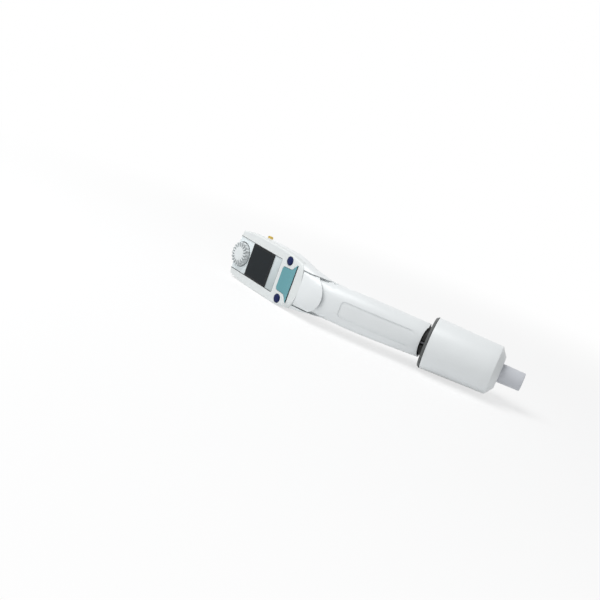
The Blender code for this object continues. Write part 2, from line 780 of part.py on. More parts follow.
def build_collar():
    low = HEAD_SEAT_Z + GAP
    collar = turned(
        "coupling_collar",
        ring_profile(COLLAR_RADIUS, NECK_RADIUS + GAP, low, COLLAR_TOP_Z),
        AXIS,
        BLACK,
    )
    half = RING_LUG_WIDTH / 2.0 + 0.0004
    groove_low = (-half, -0.030, low - 0.001)
    groove_high = (half, GROOVE_BOTTOM, COLLAR_TOP_Z + 0.001)
    boolean(collar, box("collar_groove", groove_low, groove_high, AXIS))


# Drive: nut, screw, frame, gearbox and motor

def build_drive():
    nut_low = ROD_TOP_Z + GAP
    nut = turned("spindle_nut", disc_profile(NUT_RADIUS, nut_low, nut_low + NUT_HEIGHT), AXIS, BRASS, SMALL_STEPS)
    ear = NUT_EAR_WIDTH / 2.0
    ears = box(
        "nut_ears",
        (-NUT_EAR_REACH, -ear, nut_low + 0.001),
        (NUT_EAR_REACH, ear, nut_low + NUT_HEIGHT - 0.001),
        AXIS,
    )
    boolean(nut, ears, "UNION")
    bore = turned("nut_bore", disc_profile(SCREW_RADIUS + GAP, 0.1, 0.13), AXIS, None, SMALL_STEPS)
    boolean(nut, bore)
    screw = [
        (0.0, FRAME_TOP_Z),
        (SCREW_RADIUS, FRAME_TOP_Z),
        (SCREW_RADIUS, SCREW_BOTTOM_Z + 0.0006),
        (SCREW_RADIUS - 0.0006, SCREW_BOTTOM_Z),
        (0.0, SCREW_BOTTOM_Z),
    ]
    turned("lead_screw", screw, AXIS, STEEL, SMALL_STEPS)
    frame_low = NECK_TOP_Z + GAP
    shaft_hole = SCREW_RADIUS + GAP
    inner = FRAME_RADIUS - FRAME_WALL
    profile = [
        (FRAME_RADIUS, FRAME_TOP_Z),
        (FRAME_RADIUS, frame_low),
        (inner, frame_low),
        (inner, FRAME_TOP_Z - FRAME_FLANGE),
        (shaft_hole, FRAME_TOP_Z - FRAME_FLANGE),
        (shaft_hole, FRAME_TOP_Z),
    ]
    frame = turned("drive_frame", profile, AXIS, BLACK, 32)
    slot = ear + GAP
    slots = box("frame_slots", (-0.012, -slot, nut_low - 0.002), (0.012, slot, FRAME_TOP_Z - 0.0035), AXIS)
    boolean(frame, slots)
    gearbox_low = FRAME_TOP_Z + GAP
    motor_low = gearbox_low + GEARBOX_HEIGHT + GAP
    turned("gearbox", disc_profile(GEARBOX_RADIUS, gearbox_low, motor_low - GAP), AXIS, BRASS, 32)
    motor_top = motor_low + MOTOR_HEIGHT
    motor = [
        (0.0, motor_top + 0.0012),
        (0.0028, motor_top + 0.0012),
        (0.0028, motor_top),
        (MOTOR_RADIUS - 0.0008, motor_top),
        (MOTOR_RADIUS, motor_top - 0.0008),
        (MOTOR_RADIUS, motor_low),
        (0.0, motor_low),
    ]
    turned("drive_motor", motor, AXIS, STEEL, 32)


# Ejector: rod, spring and button

def build_ejector():
    turned(
        "ejector_rod",
        disc_profile(EJECTOR_ROD_RADIUS, RING_TOP_Z + GAP, EJECTOR_ROD_TOP_Z),
        AXIS,
        STEEL,
        16,
        (0.0, EJECTOR_ROD_Y, 0.0),
    )
    spring_low = HEAD_SEAT_Z + GAP + SPRING_WIRE_RADIUS
    spring_high = SLEEVE_TOP_Z - GAP - SPRING_WIRE_RADIUS
    curve = bpy.data.curves.new("ejector_spring", "CURVE")
    curve.dimensions = "3D"
    curve.bevel_depth = SPRING_WIRE_RADIUS
    curve.bevel_resolution = 1
    curve.use_fill_caps = True
    spline = curve.splines.new("POLY")
    count = SPRING_TURNS * SPRING_TURN_POINTS + 1
    spline.points.add(count - 1)
    for index, point in enumerate(spline.points):
        share = index / (count - 1)
        angle = 2.0 * math.pi * SPRING_TURNS * share
        # The end turns lie flat
        climb = (share * SPRING_TURNS - SPRING_FLAT_TURNS) / (SPRING_TURNS - 2.0 * SPRING_FLAT_TURNS)
        rise = min(max(climb, 0.0), 1.0)
        z = spring_low + (spring_high - spring_low) * rise
        point.co = (SPRING_RADIUS * math.cos(angle), SPRING_RADIUS * math.sin(angle), z, 1.0)
    curve.materials.append(STEEL)
    spring = bpy.data.objects.new("ejector_spring", curve)
    spring.parent = AXIS
    PARTS.objects.link(spring)
    build_button()


def build_button():
    button = button_surface("ejector_button", WHITE)
    half = BUTTON_ARM_WIDTH / 2.0
    arm_near = BUTTON_ARM_Y - BUTTON_ARM_THICKNESS / 2.0
    arm_far = arm_near + BUTTON_ARM_THICKNESS
    foot_low = EJECTOR_ROD_TOP_Z + GAP
    arm = box("button_arm", (-half, arm_near, foot_low), (half, arm_far, BUTTON_ARM_TOP_Z), AXIS)
    foot_near = EJECTOR_ROD_Y - EJECTOR_ROD_RADIUS
    foot = box("button_foot", (-half, foot_near, foot_low), (half, arm_far, foot_low + 0.0022), AXIS)
    shelf_low = (-SHELF_HALF_WIDTH, arm_near + 0.0004, SHELF_BOTTOM_Z)
    shelf_high = (SHELF_HALF_WIDTH, -0.0046, SHELF_TOP_Z)
    shelf = box("button_shelf", shelf_low, shelf_high, AXIS)
    boolean(button, arm, "UNION")
    boolean(button, foot, "UNION")
    boolean(button, shelf, "UNION")
    boolean(button, button_tongue(), "UNION")


def button_tongue():
    # The part of the button that stays behind the bezel and fills the slot when it is pressed
    rings = []
    for row in range(5):
        z = TONGUE_BOTTOM_Z + (TONGUE_TOP_Z - TONGUE_BOTTOM_Z) * row / 4.0
        crown = button_crown(z)
        near = []
        for step in range(9):
            share = TONGUE_SHARE * (2.0 * step / 8.0 - 1.0)
            y = button_depth(share, crown, BUTTON_EDGE_Y) + TONGUE_SET_BACK
            near.append((BUTTON_HALF_WIDTH * share, y, z))
        far = [(x, y + TONGUE_WALL, z) for x, y, z in reversed(near)]
        rings.append(near + far)
    return loft("button_tongue", rings, AXIS)


# Head: bezel, panel, window, dial, keys and rocker

def rocker_outline(grow=0.0):
    top = ROCKER_TOP + grow
    notch = ROCKER_NOTCH
    low = ROCKER_BOTTOM - grow
    wide_top = ROCKER_TOP_HALF_WIDTH + grow
    wide_notch = ROCKER_NOTCH_HALF_WIDTH + grow
    wide_low = ROCKER_BOTTOM_HALF_WIDTH + grow
    right = [
        (wide_low - 0.0004, low),
        (wide_low, low + 0.0004),
        (wide_low - 0.0002, ROCKER_BOTTOM + 0.0014),
        (wide_notch + 0.0008, notch - 0.0012),
        (wide_notch, notch),
        (wide_top, top - 0.0020),
        (wide_top - 0.0006, top - 0.0006),
        (wide_top - 0.0020, top),
    ]
    left = [(-x, y) for x, y in reversed(right)]
    return right + left


def build_bezel():
    bezel = loft("front_bezel", outer_rings(), AXIS, BEZEL_WHITE)
    boolean(bezel, bezel_region("bezel_block", 0.0, BEZEL_DEPTH), "INTERSECT")
    hollow = cavity_form("bezel_hollow", WALL)
    behind = box("bezel_behind", (-0.03, -0.04, -0.06), (0.03, 0.12, -BEZEL_PLATE), FACE)
    boolean(hollow, behind, "INTERSECT")
    boolean(bezel, hollow)
    floor = PANEL_SINK + PANEL_THICKNESS + GAP
    wide = PANEL_HALF_WIDTH + GAP
    panel_cut = plate(
        "panel_cut",
        rounded_outline(wide, PANEL_BOTTOM - GAP, HEAD_TOP + 0.006, 0.0012),
        -floor,
        0.010,
        FACE,
    )
    module_cut = box(
        "module_cut",
        (-MODULE_HALF_WIDTH + 0.0008, WINDOW_BOTTOM + 0.0014, -0.004),
        (MODULE_HALF_WIDTH - 0.0008, WINDOW_TOP - 0.0014, 0.001),
        FACE,
    )
    shaft_cut = turned(
        "shaft_cut",
        disc_profile(DIAL_SHAFT_RADIUS + GAP, -0.010, 0.004),
        FACE,
        None,
        SMALL_STEPS,
        (0.0, DIAL_CENTRE, 0.0),
    )
    rocker_cut = plate("rocker_cut", rocker_outline(0.00035), -0.010, 0.002, FACE)
    for cutter in (panel_cut, module_cut, shaft_cut, rocker_cut):
        boolean(bezel, cutter)
    for side, name in ((1.0, "right"), (-1.0, "left")):
        inner, outer = sorted((side * ROCKER_LUG_IN, side * ROCKER_LUG_OUT))
        lug = box(
            "rocker_lug_" + name,
            (inner, ROCKER_PIVOT - 0.0015, -ROCKER_PIVOT_DEPTH - 0.0015),
            (outer, ROCKER_PIVOT + 0.0015, -BEZEL_PLATE + 0.0004),
            FACE,
        )
        boolean(bezel, lug, "UNION")
        key_cut = turned(
            "key_cut_" + name,
            disc_profile(KEY_RADIUS + GAP, -0.0062, 0.004),
            FACE,
            None,
            32,
            (side * KEY_OFFSET, KEY_HEIGHT_ON_FACE, 0.0),
        )
        boolean(bezel, key_cut)
    for index, (across, up) in enumerate(BOSSES):
        boss = turned(
            "board_boss_" + str(index + 1),
            ring_profile(0.0022, 0.0010, -BOARD_DEPTH + GAP, -BEZEL_PLATE + 0.0006),
            FACE,
            None,
            16,
            (across, up, 0.0),
        )
        boolean(bezel, boss, "UNION")
    pin_cut = pin_body("pin_cut", ROCKER_PIN_RADIUS + GAP, ROCKER_LUG_OUT + 0.001)
    boolean(bezel, pin_cut)


BOSSES = [(-0.0150, 0.0385), (0.0150, 0.0385), (-0.0160, 0.0775), (0.0160, 0.0775)]


def pin_body(name, radius, reach, material=None):
    # A pin along the rocker's axis
    pin = turned(name, disc_profile(radius, -reach, reach), FACE, material, 16)
    pin.rotation_euler = (0.0, math.pi / 2.0, 0.0)
    pin.location = (0.0, ROCKER_PIVOT, -ROCKER_PIVOT_DEPTH)
    return pin


def build_panel():
    low = -PANEL_SINK - PANEL_THICKNESS
    corners = rounded_outline(PANEL_HALF_WIDTH, PANEL_BOTTOM, PANEL_TOP, 0.0010)
    outline = [point for point in corners if point[1] < PANEL_BOTTOM + 0.0011]
    right = [point for point in outline if point[0] > 0.0]
    left = [point for point in outline if point[0] < 0.0]
    crown = []
    for step in range(9):
        across = PANEL_HALF_WIDTH * (1.0 - step / 4.0)
        crown.append((across, PANEL_TOP - PANEL_CROWN * (across / PANEL_HALF_WIDTH) ** 2))
    outline = right + crown + left
    panel = plate("display_panel", outline, low, -PANEL_SINK, FACE, SILVER)
    dial_hole = turned(
        "panel_dial_hole",
        disc_profile(DIAL_RADIUS + DIAL_POCKET_GAP, -0.004, 0.004),
        FACE,
        None,
        ROUND_STEPS,
        (0.0, DIAL_CENTRE, 0.0),
    )
    view = box(
        "panel_view",
        (-MODULE_HALF_WIDTH + 0.0008, WINDOW_BOTTOM + 0.0014, -0.004),
        (MODULE_HALF_WIDTH - 0.0008, WINDOW_TOP - 0.0014, 0.004),
        FACE,
    )
    boolean(panel, dial_hole)
    boolean(panel, view)
    window_low = -PANEL_SINK + GAP
    window_outline = rounded_outline(WINDOW_HALF_WIDTH, WINDOW_BOTTOM, WINDOW_TOP, 0.0003, 1)
    plate("display_window", window_outline, window_low, window_low + WINDOW_THICKNESS, FACE, DARK_GLASS)
    module_top = -BEZEL_PLATE - GAP
    box(
        "display_module",
        (-MODULE_HALF_WIDTH, WINDOW_BOTTOM + 0.0004, module_top - MODULE_THICKNESS),
        (MODULE_HALF_WIDTH, WINDOW_TOP - 0.0004, module_top),
        FACE,
        BLACK,
    )


def build_dial():
    # A low dome with rounded ridges round its rim
    rim_low = -DIAL_SINK
    rim_top = DIAL_HEIGHT - DIAL_SINK
    levels = [
        (DIAL_RADIUS - 0.0006, rim_low, 0.4, 0.0),
        (DIAL_RADIUS, rim_low + 0.0005, 1.0, 0.0),
        (DIAL_RADIUS, rim_top - DIAL_SHOULDER, 1.0, 0.1),
        (DIAL_RADIUS - 0.0007, rim_top - 0.0005, 1.0, 0.7),
        (DIAL_RADIUS - 0.0022, rim_top, 0.8, 1.0),
        (DIAL_RADIUS - 0.0064, rim_top + 0.0002, 0.0, 0.7),
        (DIAL_RADIUS - 0.0078, rim_top + 0.0002, 0.0, 0.0),
    ]
    count = DIAL_RIDGES * 4
    rings = []
    for radius, height, scallop, furrow in levels:
        ring = []
        for index in range(count):
            angle = 2.0 * math.pi * index / count
            ridge = math.cos(DIAL_RIDGES * angle)
            reach = radius + DIAL_SCALLOP * scallop * ridge
            low = height - DIAL_FURROW * furrow * (1.0 - ridge) / 2.0
            ring.append((reach * math.cos(angle), reach * math.sin(angle), low))
        rings.append(ring)
    dial = loft("selection_dial", rings, FACE, SILVER)
    dial.location = (0.0, DIAL_CENTRE, 0.0)
    encoder_top = -BEZEL_PLATE - GAP
    shaft = disc_profile(DIAL_SHAFT_RADIUS, encoder_top - 0.0030, -DIAL_SINK - GAP)
    turned("dial_shaft", shaft, FACE, STEEL, SMALL_STEPS, (0.0, DIAL_CENTRE, 0.0))
    encoder = box(
        "dial_encoder",
        (-0.0050, DIAL_CENTRE - 0.0050, encoder_top - 0.0042),
        (0.0050, DIAL_CENTRE + 0.0034, encoder_top),
        FACE,
        BLACK,
    )
    encoder_bore = turned(
        "encoder_bore",
        disc_profile(DIAL_SHAFT_RADIUS + GAP, encoder_top - 0.0033, 0.001),
        FACE,
        None,
        SMALL_STEPS,
        (0.0, DIAL_CENTRE, 0.0),
    )
    boolean(encoder, encoder_bore)


def build_keys():
    key_low = -0.0042
    switch_top = key_low - KEY_TRAVEL - GAP
    for side, name in ((1.0, "right"), (-1.0, "left")):
        profile = [
            (0.0, KEY_PROUD),
            (KEY_RADIUS - 0.0012, KEY_PROUD - 0.0001),
            (KEY_RADIUS - 0.0003, KEY_PROUD - 0.0005),
            (KEY_RADIUS, KEY_PROUD - 0.0011),
            (KEY_RADIUS, key_low),
            (0.0, key_low),
        ]
        place = (side * KEY_OFFSET, KEY_HEIGHT_ON_FACE, 0.0)
        turned("key_" + name, profile, FACE, NAVY, 32, place)
        switch = [
            (0.0, switch_top),
            (0.0016, switch_top),
            (0.0024, switch_top - 0.0006),
            (0.0024, -BOARD_DEPTH + GAP),
            (0.0, -BOARD_DEPTH + GAP),
        ]
        seat = (side * (BOARD_HALF_WIDTH - 0.0026), KEY_HEIGHT_ON_FACE, 0.0)
        turned("key_switch_" + name, switch, FACE, STEEL, 16, seat)


def build_rocker():
    top = ROCKER_PROUD
    low = top - ROCKER_THICKNESS
    rocker = plate("rocker", rocker_outline(), low, top, FACE, TURQUOISE)
    hub = box(
        "rocker_hub",
        (-0.0108, ROCKER_PIVOT - 0.0017, -ROCKER_PIVOT_DEPTH - 0.0015),
        (0.0108, ROCKER_PIVOT + 0.0017, low + 0.0005),
        FACE,
    )
    boolean(rocker, hub, "UNION")
    boolean(rocker, pin_body("rocker_bore", ROCKER_PIN_RADIUS + GAP, 0.020))
    half_length = (ROCKER_TOP - ROCKER_BOTTOM) / 2.0
    radius = half_length * half_length / (2.0 * ROCKER_DISH)
    dish = turned("rocker_dish", disc_profile(radius, -0.03, 0.03), FACE, None, 144)
    dish.rotation_euler = (0.0, math.pi / 2.0, 0.0)
    dish.location = (0.0, ROCKER_BOTTOM + half_length, top - ROCKER_DISH + radius)
    boolean(rocker, dish)
    pin_body("rocker_pin", ROCKER_PIN_RADIUS, ROCKER_LUG_OUT, STEEL)


# Electronics, battery and contacts

def build_electronics():
    board_top = -BOARD_DEPTH
    board = box(
        "main_board",
        (-BOARD_HALF_WIDTH, BOARD_BOTTOM, board_top - BOARD_THICKNESS),
        (BOARD_HALF_WIDTH, BOARD_TOP, board_top),
        FACE,
        BOARD_GREEN,
    )
    board_low = board_top - BOARD_THICKNESS
    for index, (across, up) in enumerate(BOSSES):
        hole = turned(
            "board_hole_" + str(index + 1),
            disc_profile(0.0010, board_low - 0.001, board_top + 0.001),
            FACE,
            None,
            16,
            (across, up, 0.0),
        )
        boolean(board, hole)
        head_low = board_low - GAP - 0.0008
        screw = [
            (0.0, board_top + 0.0030),
            (0.0007, board_top + 0.0030),
            (0.0007, board_low - GAP),
            (0.0017, board_low - GAP),
            (0.0017, head_low),
            (0.0, head_low),
        ]
        turned("board_screw_" + str(index + 1), screw, FACE, STEEL, 16, (across, up, 0.0))
    box(
        "battery",
        (-BATTERY_HALF_WIDTH, BATTERY_BOTTOM, -BATTERY_DEPTH - BATTERY_THICKNESS),
        (BATTERY_HALF_WIDTH, BATTERY_TOP, -BATTERY_DEPTH),
        FACE,
        BATTERY_BLUE,
        0.0006,
    )
    for side, name, reach in ((1.0, "right", CONTACT_OUT), (-1.0, "left", CONTACT_PRESSED)):
        inner, outer = sorted((side * CONTACT_INNER, side * reach))
        box(
            "charging_contact_" + name,
            (inner, CONTACT_BOTTOM, -CONTACT_FAR),
            (outer, CONTACT_BOTTOM + CONTACT_LENGTH, -CONTACT_NEAR),
            FACE,
            GOLD,
            0.0005,
        )


def contact_slot(side, name):
    inner, outer = sorted((side * (CONTACT_INNER - GAP), side * (CONTACT_OUT + GAP)))
    return box(
        "contact_slot_" + name,
        (inner, CONTACT_BOTTOM - GAP, -CONTACT_FAR - GAP),
        (outer, CONTACT_BOTTOM + CONTACT_LENGTH + GAP, -CONTACT_NEAR + GAP),
        FACE,
    )


# Housing, battery cover and finger rest

def build_housing():
    housing = loft("main_housing", outer_rings(), AXIS, WHITE)
    cavity = cavity_form("housing_cavity", WALL)
    floor = button_path("pocket_floor", GAP)
    wall = button_path("pocket_wall", GAP)
    wall.location = (0.0, WALL, 0.0)
    above = box("pocket_wall_top", (-0.03, -0.05, POCKET_WALL_TOP_Z), (0.03, 0.03, 0.22), AXIS)
    boolean(wall, above)
    boolean(cavity, wall)
    boolean(housing, cavity)
    boolean(housing, floor)
    boolean(housing, bezel_region("bezel_seat", GAP, BEZEL_DEPTH + GAP))
    half = BUTTON_ARM_WIDTH / 2.0 + GAP
    arm_slot = box("arm_slot", (-half, -0.014, 0.182), (half, 0.0010, 0.195), AXIS)
    boolean(housing, arm_slot)
    tongue_wide = BUTTON_HALF_WIDTH * TONGUE_SHARE + 0.0005
    tongue_low = TONGUE_BOTTOM_Z - EJECTOR_TRAVEL - 0.0010
    window = box("tongue_window", (-tongue_wide, -0.020, tongue_low), (tongue_wide, 0.0010, 0.209), AXIS)
    boolean(housing, window)
    boolean(housing, label_recess())
    arch = plate(
        "mouth_arch",
        oval_outline(ARCH_HALF_WIDTH, ARCH_HEIGHT, (0.0, HANDLE_BOTTOM_Z)),
        0.006,
        0.024,
        AXIS,
    )
    arch.rotation_euler = (math.pi / 2.0, 0.0, 0.0)
    boolean(housing, arch)
    boolean(housing, contact_slot(1.0, "right"))
    boolean(housing, contact_slot(-1.0, "left"))
    boolean(housing, cover_block("cover_opening", GAP))


def label_recess():
    recess = plate(
        "label_recess",
        rounded_outline(LABEL_HALF_WIDTH, LABEL_BOTTOM_Z, LABEL_TOP_Z, LABEL_CORNER),
        0.006,
        0.024,
        AXIS,
    )
    recess.rotation_euler = (math.pi / 2.0, 0.0, 0.0)
    boolean(recess, body_form("label_floor", LABEL_DEPTH))
    return recess


def cover_block(name, grow):
    return plate(
        name,
        rounded_outline(
            COVER_HALF_WIDTH + grow,
            COVER_BOTTOM - grow,
            COVER_TOP + grow,
            COVER_CORNER + grow,
        ),
        -0.034,
        -0.012,
        FACE,
    )


def build_battery_cover():
    cover = loft("battery_cover", body_rings(), AXIS, WHITE)
    boolean(cover, cavity_form("cover_cavity", WALL))
    boolean(cover, cover_block("cover_block", 0.0), "INTERSECT")


def build_finger_rest():
    tip = FINGER_TIP_Y
    top = FINGER_TOP_Z
    thick = FINGER_THICKNESS
    outline = [
        (0.0120, top - 0.0145),
        (0.0210, top - 0.0100),
        (tip - thick - 0.0030, top - thick - 0.0024),
        (tip - thick - 0.0006, top - thick - 0.0046),
        (tip - thick + 0.0002, top - thick - FINGER_DROP),
        (tip - thick + 0.0018, top - thick - FINGER_DROP - 0.0014),
        (tip - 0.0006, top - thick - FINGER_DROP + 0.0002),
        (tip, top - thick - 0.0040),
        (tip - 0.0012, top - 0.0042),
        (tip - 0.0044, top - 0.0014),
        (tip - 0.0090, top - 0.0002),
        (0.0180, top),
    ]
    rest = plate("finger_rest", outline, -FINGER_HALF_WIDTH, FINGER_HALF_WIDTH, AXIS, WHITE)
    # The outline is drawn in the plane of the axis: its X is the back direction, its Y the height
    rest.rotation_euler = (math.pi / 2.0, 0.0, math.pi / 2.0)
    boolean(rest, body_form("finger_seat", -GAP))
    add_bevel(rest, 0.0010, 2)


build_tip_cone()
build_cylinder()
build_piston()
build_sleeve()
build_sleeve_ring()
build_collar()
build_drive()
build_ejector()
build_bezel()
build_panel()
build_dial()
build_keys()
build_rocker()
build_electronics()
build_housing()
build_battery_cover()
build_finger_rest()
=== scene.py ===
import math

import bpy
from mathutils import Matrix, Vector


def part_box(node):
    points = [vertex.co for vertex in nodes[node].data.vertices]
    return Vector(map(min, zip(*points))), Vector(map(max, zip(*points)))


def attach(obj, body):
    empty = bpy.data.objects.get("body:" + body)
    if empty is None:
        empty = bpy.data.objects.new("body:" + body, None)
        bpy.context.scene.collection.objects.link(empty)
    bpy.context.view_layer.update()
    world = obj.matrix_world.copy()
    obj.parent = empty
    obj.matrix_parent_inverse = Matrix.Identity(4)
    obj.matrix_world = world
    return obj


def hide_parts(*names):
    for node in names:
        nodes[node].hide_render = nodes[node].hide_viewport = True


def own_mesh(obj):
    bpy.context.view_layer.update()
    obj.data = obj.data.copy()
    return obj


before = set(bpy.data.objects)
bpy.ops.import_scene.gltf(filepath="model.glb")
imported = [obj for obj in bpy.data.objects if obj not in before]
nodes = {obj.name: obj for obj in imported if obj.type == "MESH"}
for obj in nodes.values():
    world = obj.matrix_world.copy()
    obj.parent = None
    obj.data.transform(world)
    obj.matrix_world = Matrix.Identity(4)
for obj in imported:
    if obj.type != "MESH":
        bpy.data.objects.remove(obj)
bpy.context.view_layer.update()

print("frame loaded:", len(nodes), "nodes")


# Where things are: the instrument's own axis and the leaning face of its head
coneLow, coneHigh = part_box("tip_cone")
axisY = (coneLow.y + coneHigh.y) / 2
axisZ = (coneLow.z + coneHigh.z) / 2
tipX = coneHigh.x

faceSpec = {
    "lean": math.radians(30.18),
    "originY": -0.0101,
    "originZ": 0.2000,
}

# Local x is across, local y towards the back and local z from the tip end to the head
bodyMatrix = Matrix((
    (0, 0, -1, tipX),
    (0, 1, 0, axisY),
    (1, 0, 0, axisZ),
    (0, 0, 0, 1),
))
# Local x is across the face, local y up the face and local z out of it
faceMatrix = (
    bodyMatrix
    @ Matrix.Translation((0, faceSpec["originY"], faceSpec["originZ"]))
    @ Matrix.Rotation(math.pi / 2 - faceSpec["lean"], 4, "X")
)


# Small helpers for work in the viewport's way
meshSpec = {
    "cadMerge": 0.000005,
    "ringMerge": 0.000002,
    "cadAngle": 32,
    "smoothAngle": 30,
}


def deselectAll():
    bpy.ops.object.select_all(action="DESELECT")


def activate(piece):
    deselectAll()
    piece.select_set(True)
    bpy.context.view_layer.objects.active = piece


def shadeSmooth(angle=meshSpec["smoothAngle"]):
    bpy.ops.object.shade_smooth_by_angle(angle=math.radians(angle))


def placeBy(piece, matrix):
    piece.matrix_world = matrix @ piece.matrix_world
    activate(piece)
    bpy.ops.object.transform_apply(location=True, rotation=True, scale=True)


def refinedCopy(nodeName, pieceName):
    # a copy of a CAD node whose loose triangles are merged and shaded smooth
    piece = bpy.data.objects.new(pieceName, nodes[nodeName].data.copy())
    bpy.context.scene.collection.objects.link(piece)
    activate(piece)
    bpy.ops.mesh.customdata_custom_splitnormals_clear()
    bpy.ops.object.mode_set(mode="EDIT")
    bpy.ops.mesh.select_all(action="SELECT")
    bpy.ops.mesh.remove_doubles(threshold=meshSpec["cadMerge"])
    bpy.ops.object.mode_set(mode="OBJECT")
    shadeSmooth(meshSpec["cadAngle"])
    return piece


def twinOf(piece, twinName):
    # a copy with its own mesh
    twin = piece.copy()
    twin.data = piece.data.copy()
    twin.name = twinName
    bpy.context.scene.collection.objects.link(twin)
    return twin


def beginEdit(piece):
    activate(piece)
    bpy.ops.object.mode_set(mode="EDIT")
    bpy.ops.mesh.select_mode(type="VERT")
    bpy.ops.mesh.select_all(action="SELECT")


def endEdit():
    bpy.ops.mesh.select_all(action="SELECT")
    bpy.ops.mesh.normals_make_consistent(inside=False)
    bpy.ops.object.mode_set(mode="OBJECT")


def mirrorAcross(piece):
    # to the other side of the instrument's middle
    beginEdit(piece)
    bpy.ops.transform.resize(value=(-1, 1, 1), center_override=(0, 0, 0))
    endEdit()


def combine(piece, operation, other):
    activate(piece)
    boolean = piece.modifiers.new("combined", "BOOLEAN")
    boolean.operation = operation
    boolean.solver = "EXACT"
    boolean.object = other
    bpy.ops.object.modifier_apply(modifier=boolean.name)


def softenEdges(piece, width, segments=3):
    activate(piece)
    bevel = piece.modifiers.new("softEdges", "BEVEL")
    bevel.width = width
    bevel.segments = segments
    bevel.limit_method = "ANGLE"
    bevel.angle_limit = math.radians(meshSpec["smoothAngle"])
    bpy.ops.object.modifier_apply(modifier=bevel.name)


def turnedPiece(pieceName, rings, sides, closed=False, soft=0.0):
    # a circle drawn out ring by ring, as (radius, height); it ends in caps, or closed on itself
    deselectAll()
    radius, height = rings[0]
    bpy.ops.mesh.primitive_circle_add(vertices=sides, radius=radius, location=(0, 0, 0))
    piece = bpy.context.object
    piece.name = pieceName
    beginEdit(piece)
    bpy.ops.transform.translate(value=(0, 0, height))
    for nextRadius, nextHeight in rings[1:] + ([rings[0]] if closed else []):
        bpy.ops.mesh.extrude_edges_move(
            TRANSFORM_OT_translate={"value": (0, 0, nextHeight - height)}
        )
        grow = nextRadius / radius
        bpy.ops.transform.resize(value=(grow, grow, 1), center_override=(0, 0, nextHeight))
        radius, height = nextRadius, nextHeight
    bpy.ops.mesh.select_all(action="SELECT")
    if closed:
        bpy.ops.mesh.remove_doubles(threshold=meshSpec["ringMerge"])
    else:
        bpy.ops.mesh.fill_holes(sides=0)
    endEdit()
    if soft:
        softenEdges(piece, soft)
    return piece


def blockPiece(pieceName, low, high):
    # a cube drawn to two corners
    deselectAll()
    bpy.ops.mesh.primitive_cube_add(size=1, location=(0, 0, 0))
    piece = bpy.context.object
    piece.name = pieceName
    beginEdit(piece)
    bpy.ops.transform.resize(value=[b - a for a, b in zip(low, high)], center_override=(0, 0, 0))
    bpy.ops.transform.translate(value=[(a + b) / 2 for a, b in zip(low, high)])
    endEdit()
    return piece


def selectOnly(piece, chosen):
    # in object mode: the vertices that a test chooses, with no edge or face left selected
    for group in (piece.data.edges, piece.data.polygons):
        for item in group:
            item.select = False
    for vertex in piece.data.vertices:
        vertex.select = chosen(vertex)


def selectFacesFacing(piece, direction, reach=0.9):
    bpy.ops.object.mode_set(mode="OBJECT")
    for polygon in piece.data.polygons:
        polygon.select = polygon.normal.dot(Vector(direction)) > reach
    bpy.ops.object.mode_set(mode="EDIT")


def finishPiece(piece, body, slot, material, *replaced):
    piece.data.materials.clear()
    piece.data.materials.append(material)
    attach(piece, body)
    if replaced:
        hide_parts(*replaced)


# Camera, as the photograph was taken
cameraSpec = {
    "aim": bodyMatrix @ Vector((-0.00749, -0.01319, 0.19651)),
    "distance": 0.71655,
    "heading": 13.904,
    "elevation": 12.291,
    "roll": 20.349,
    "lens": 50.0,
    "sensor": 36.0,
    "clipStart": 0.01,
}


def addCamera(spec):
    turn = (
        Matrix.Rotation(math.radians(spec["heading"]), 4, "Z")
        @ Matrix.Rotation(math.radians(90 - spec["elevation"]), 4, "X")
        @ Matrix.Rotation(math.radians(spec["roll"]), 4, "Z")
    )
    place = spec["aim"] + turn @ Vector((0, 0, spec["distance"]))
    bpy.ops.object.camera_add(location=place, rotation=turn.to_euler())
    camera = bpy.context.object
    camera.name = "photographCamera"
    camera.data.lens = spec["lens"]
    camera.data.sensor_width = spec["sensor"]
    camera.data.clip_start = spec["clipStart"]
    bpy.context.scene.camera = camera


addCamera(cameraSpec)
print("camera placed")


# Floor, world and lamps
stageSpec = {
    "floorSize": 8.0,
    "floorColour": (0.95, 0.955, 0.96),
    "floorGlow": 0.68,
    "fadeStart": 0.18,
    "fadeEnd": 0.7,
    "worldLight": 0.365,
    "keyPlace": (-0.55, -0.30, 1.02),
    "keySize": 0.8,
    "keyPower": 10.4,
    "fillPlace": (0.35, -1.0, 0.45),
    "fillSize": 0.9,
    "fillPower": 0.2,
}


def whiteToCamera(tree):
    # 1 where the camera, a mirror or glass sees it, 0 where it lights the piece
    rays = tree.nodes.new("ShaderNodeLightPath")
    either = tree.nodes.new("ShaderNodeMath")
    either.operation = "MAXIMUM"
    seen = tree.nodes.new("ShaderNodeMath")
    seen.operation = "MAXIMUM"
    tree.links.new(rays.outputs["Is Camera Ray"], either.inputs[0])
    tree.links.new(rays.outputs["Is Glossy Ray"], either.inputs[1])
    tree.links.new(either.outputs[0], seen.inputs[0])
    tree.links.new(rays.outputs["Is Transmission Ray"], seen.inputs[1])
    return seen.outputs[0]


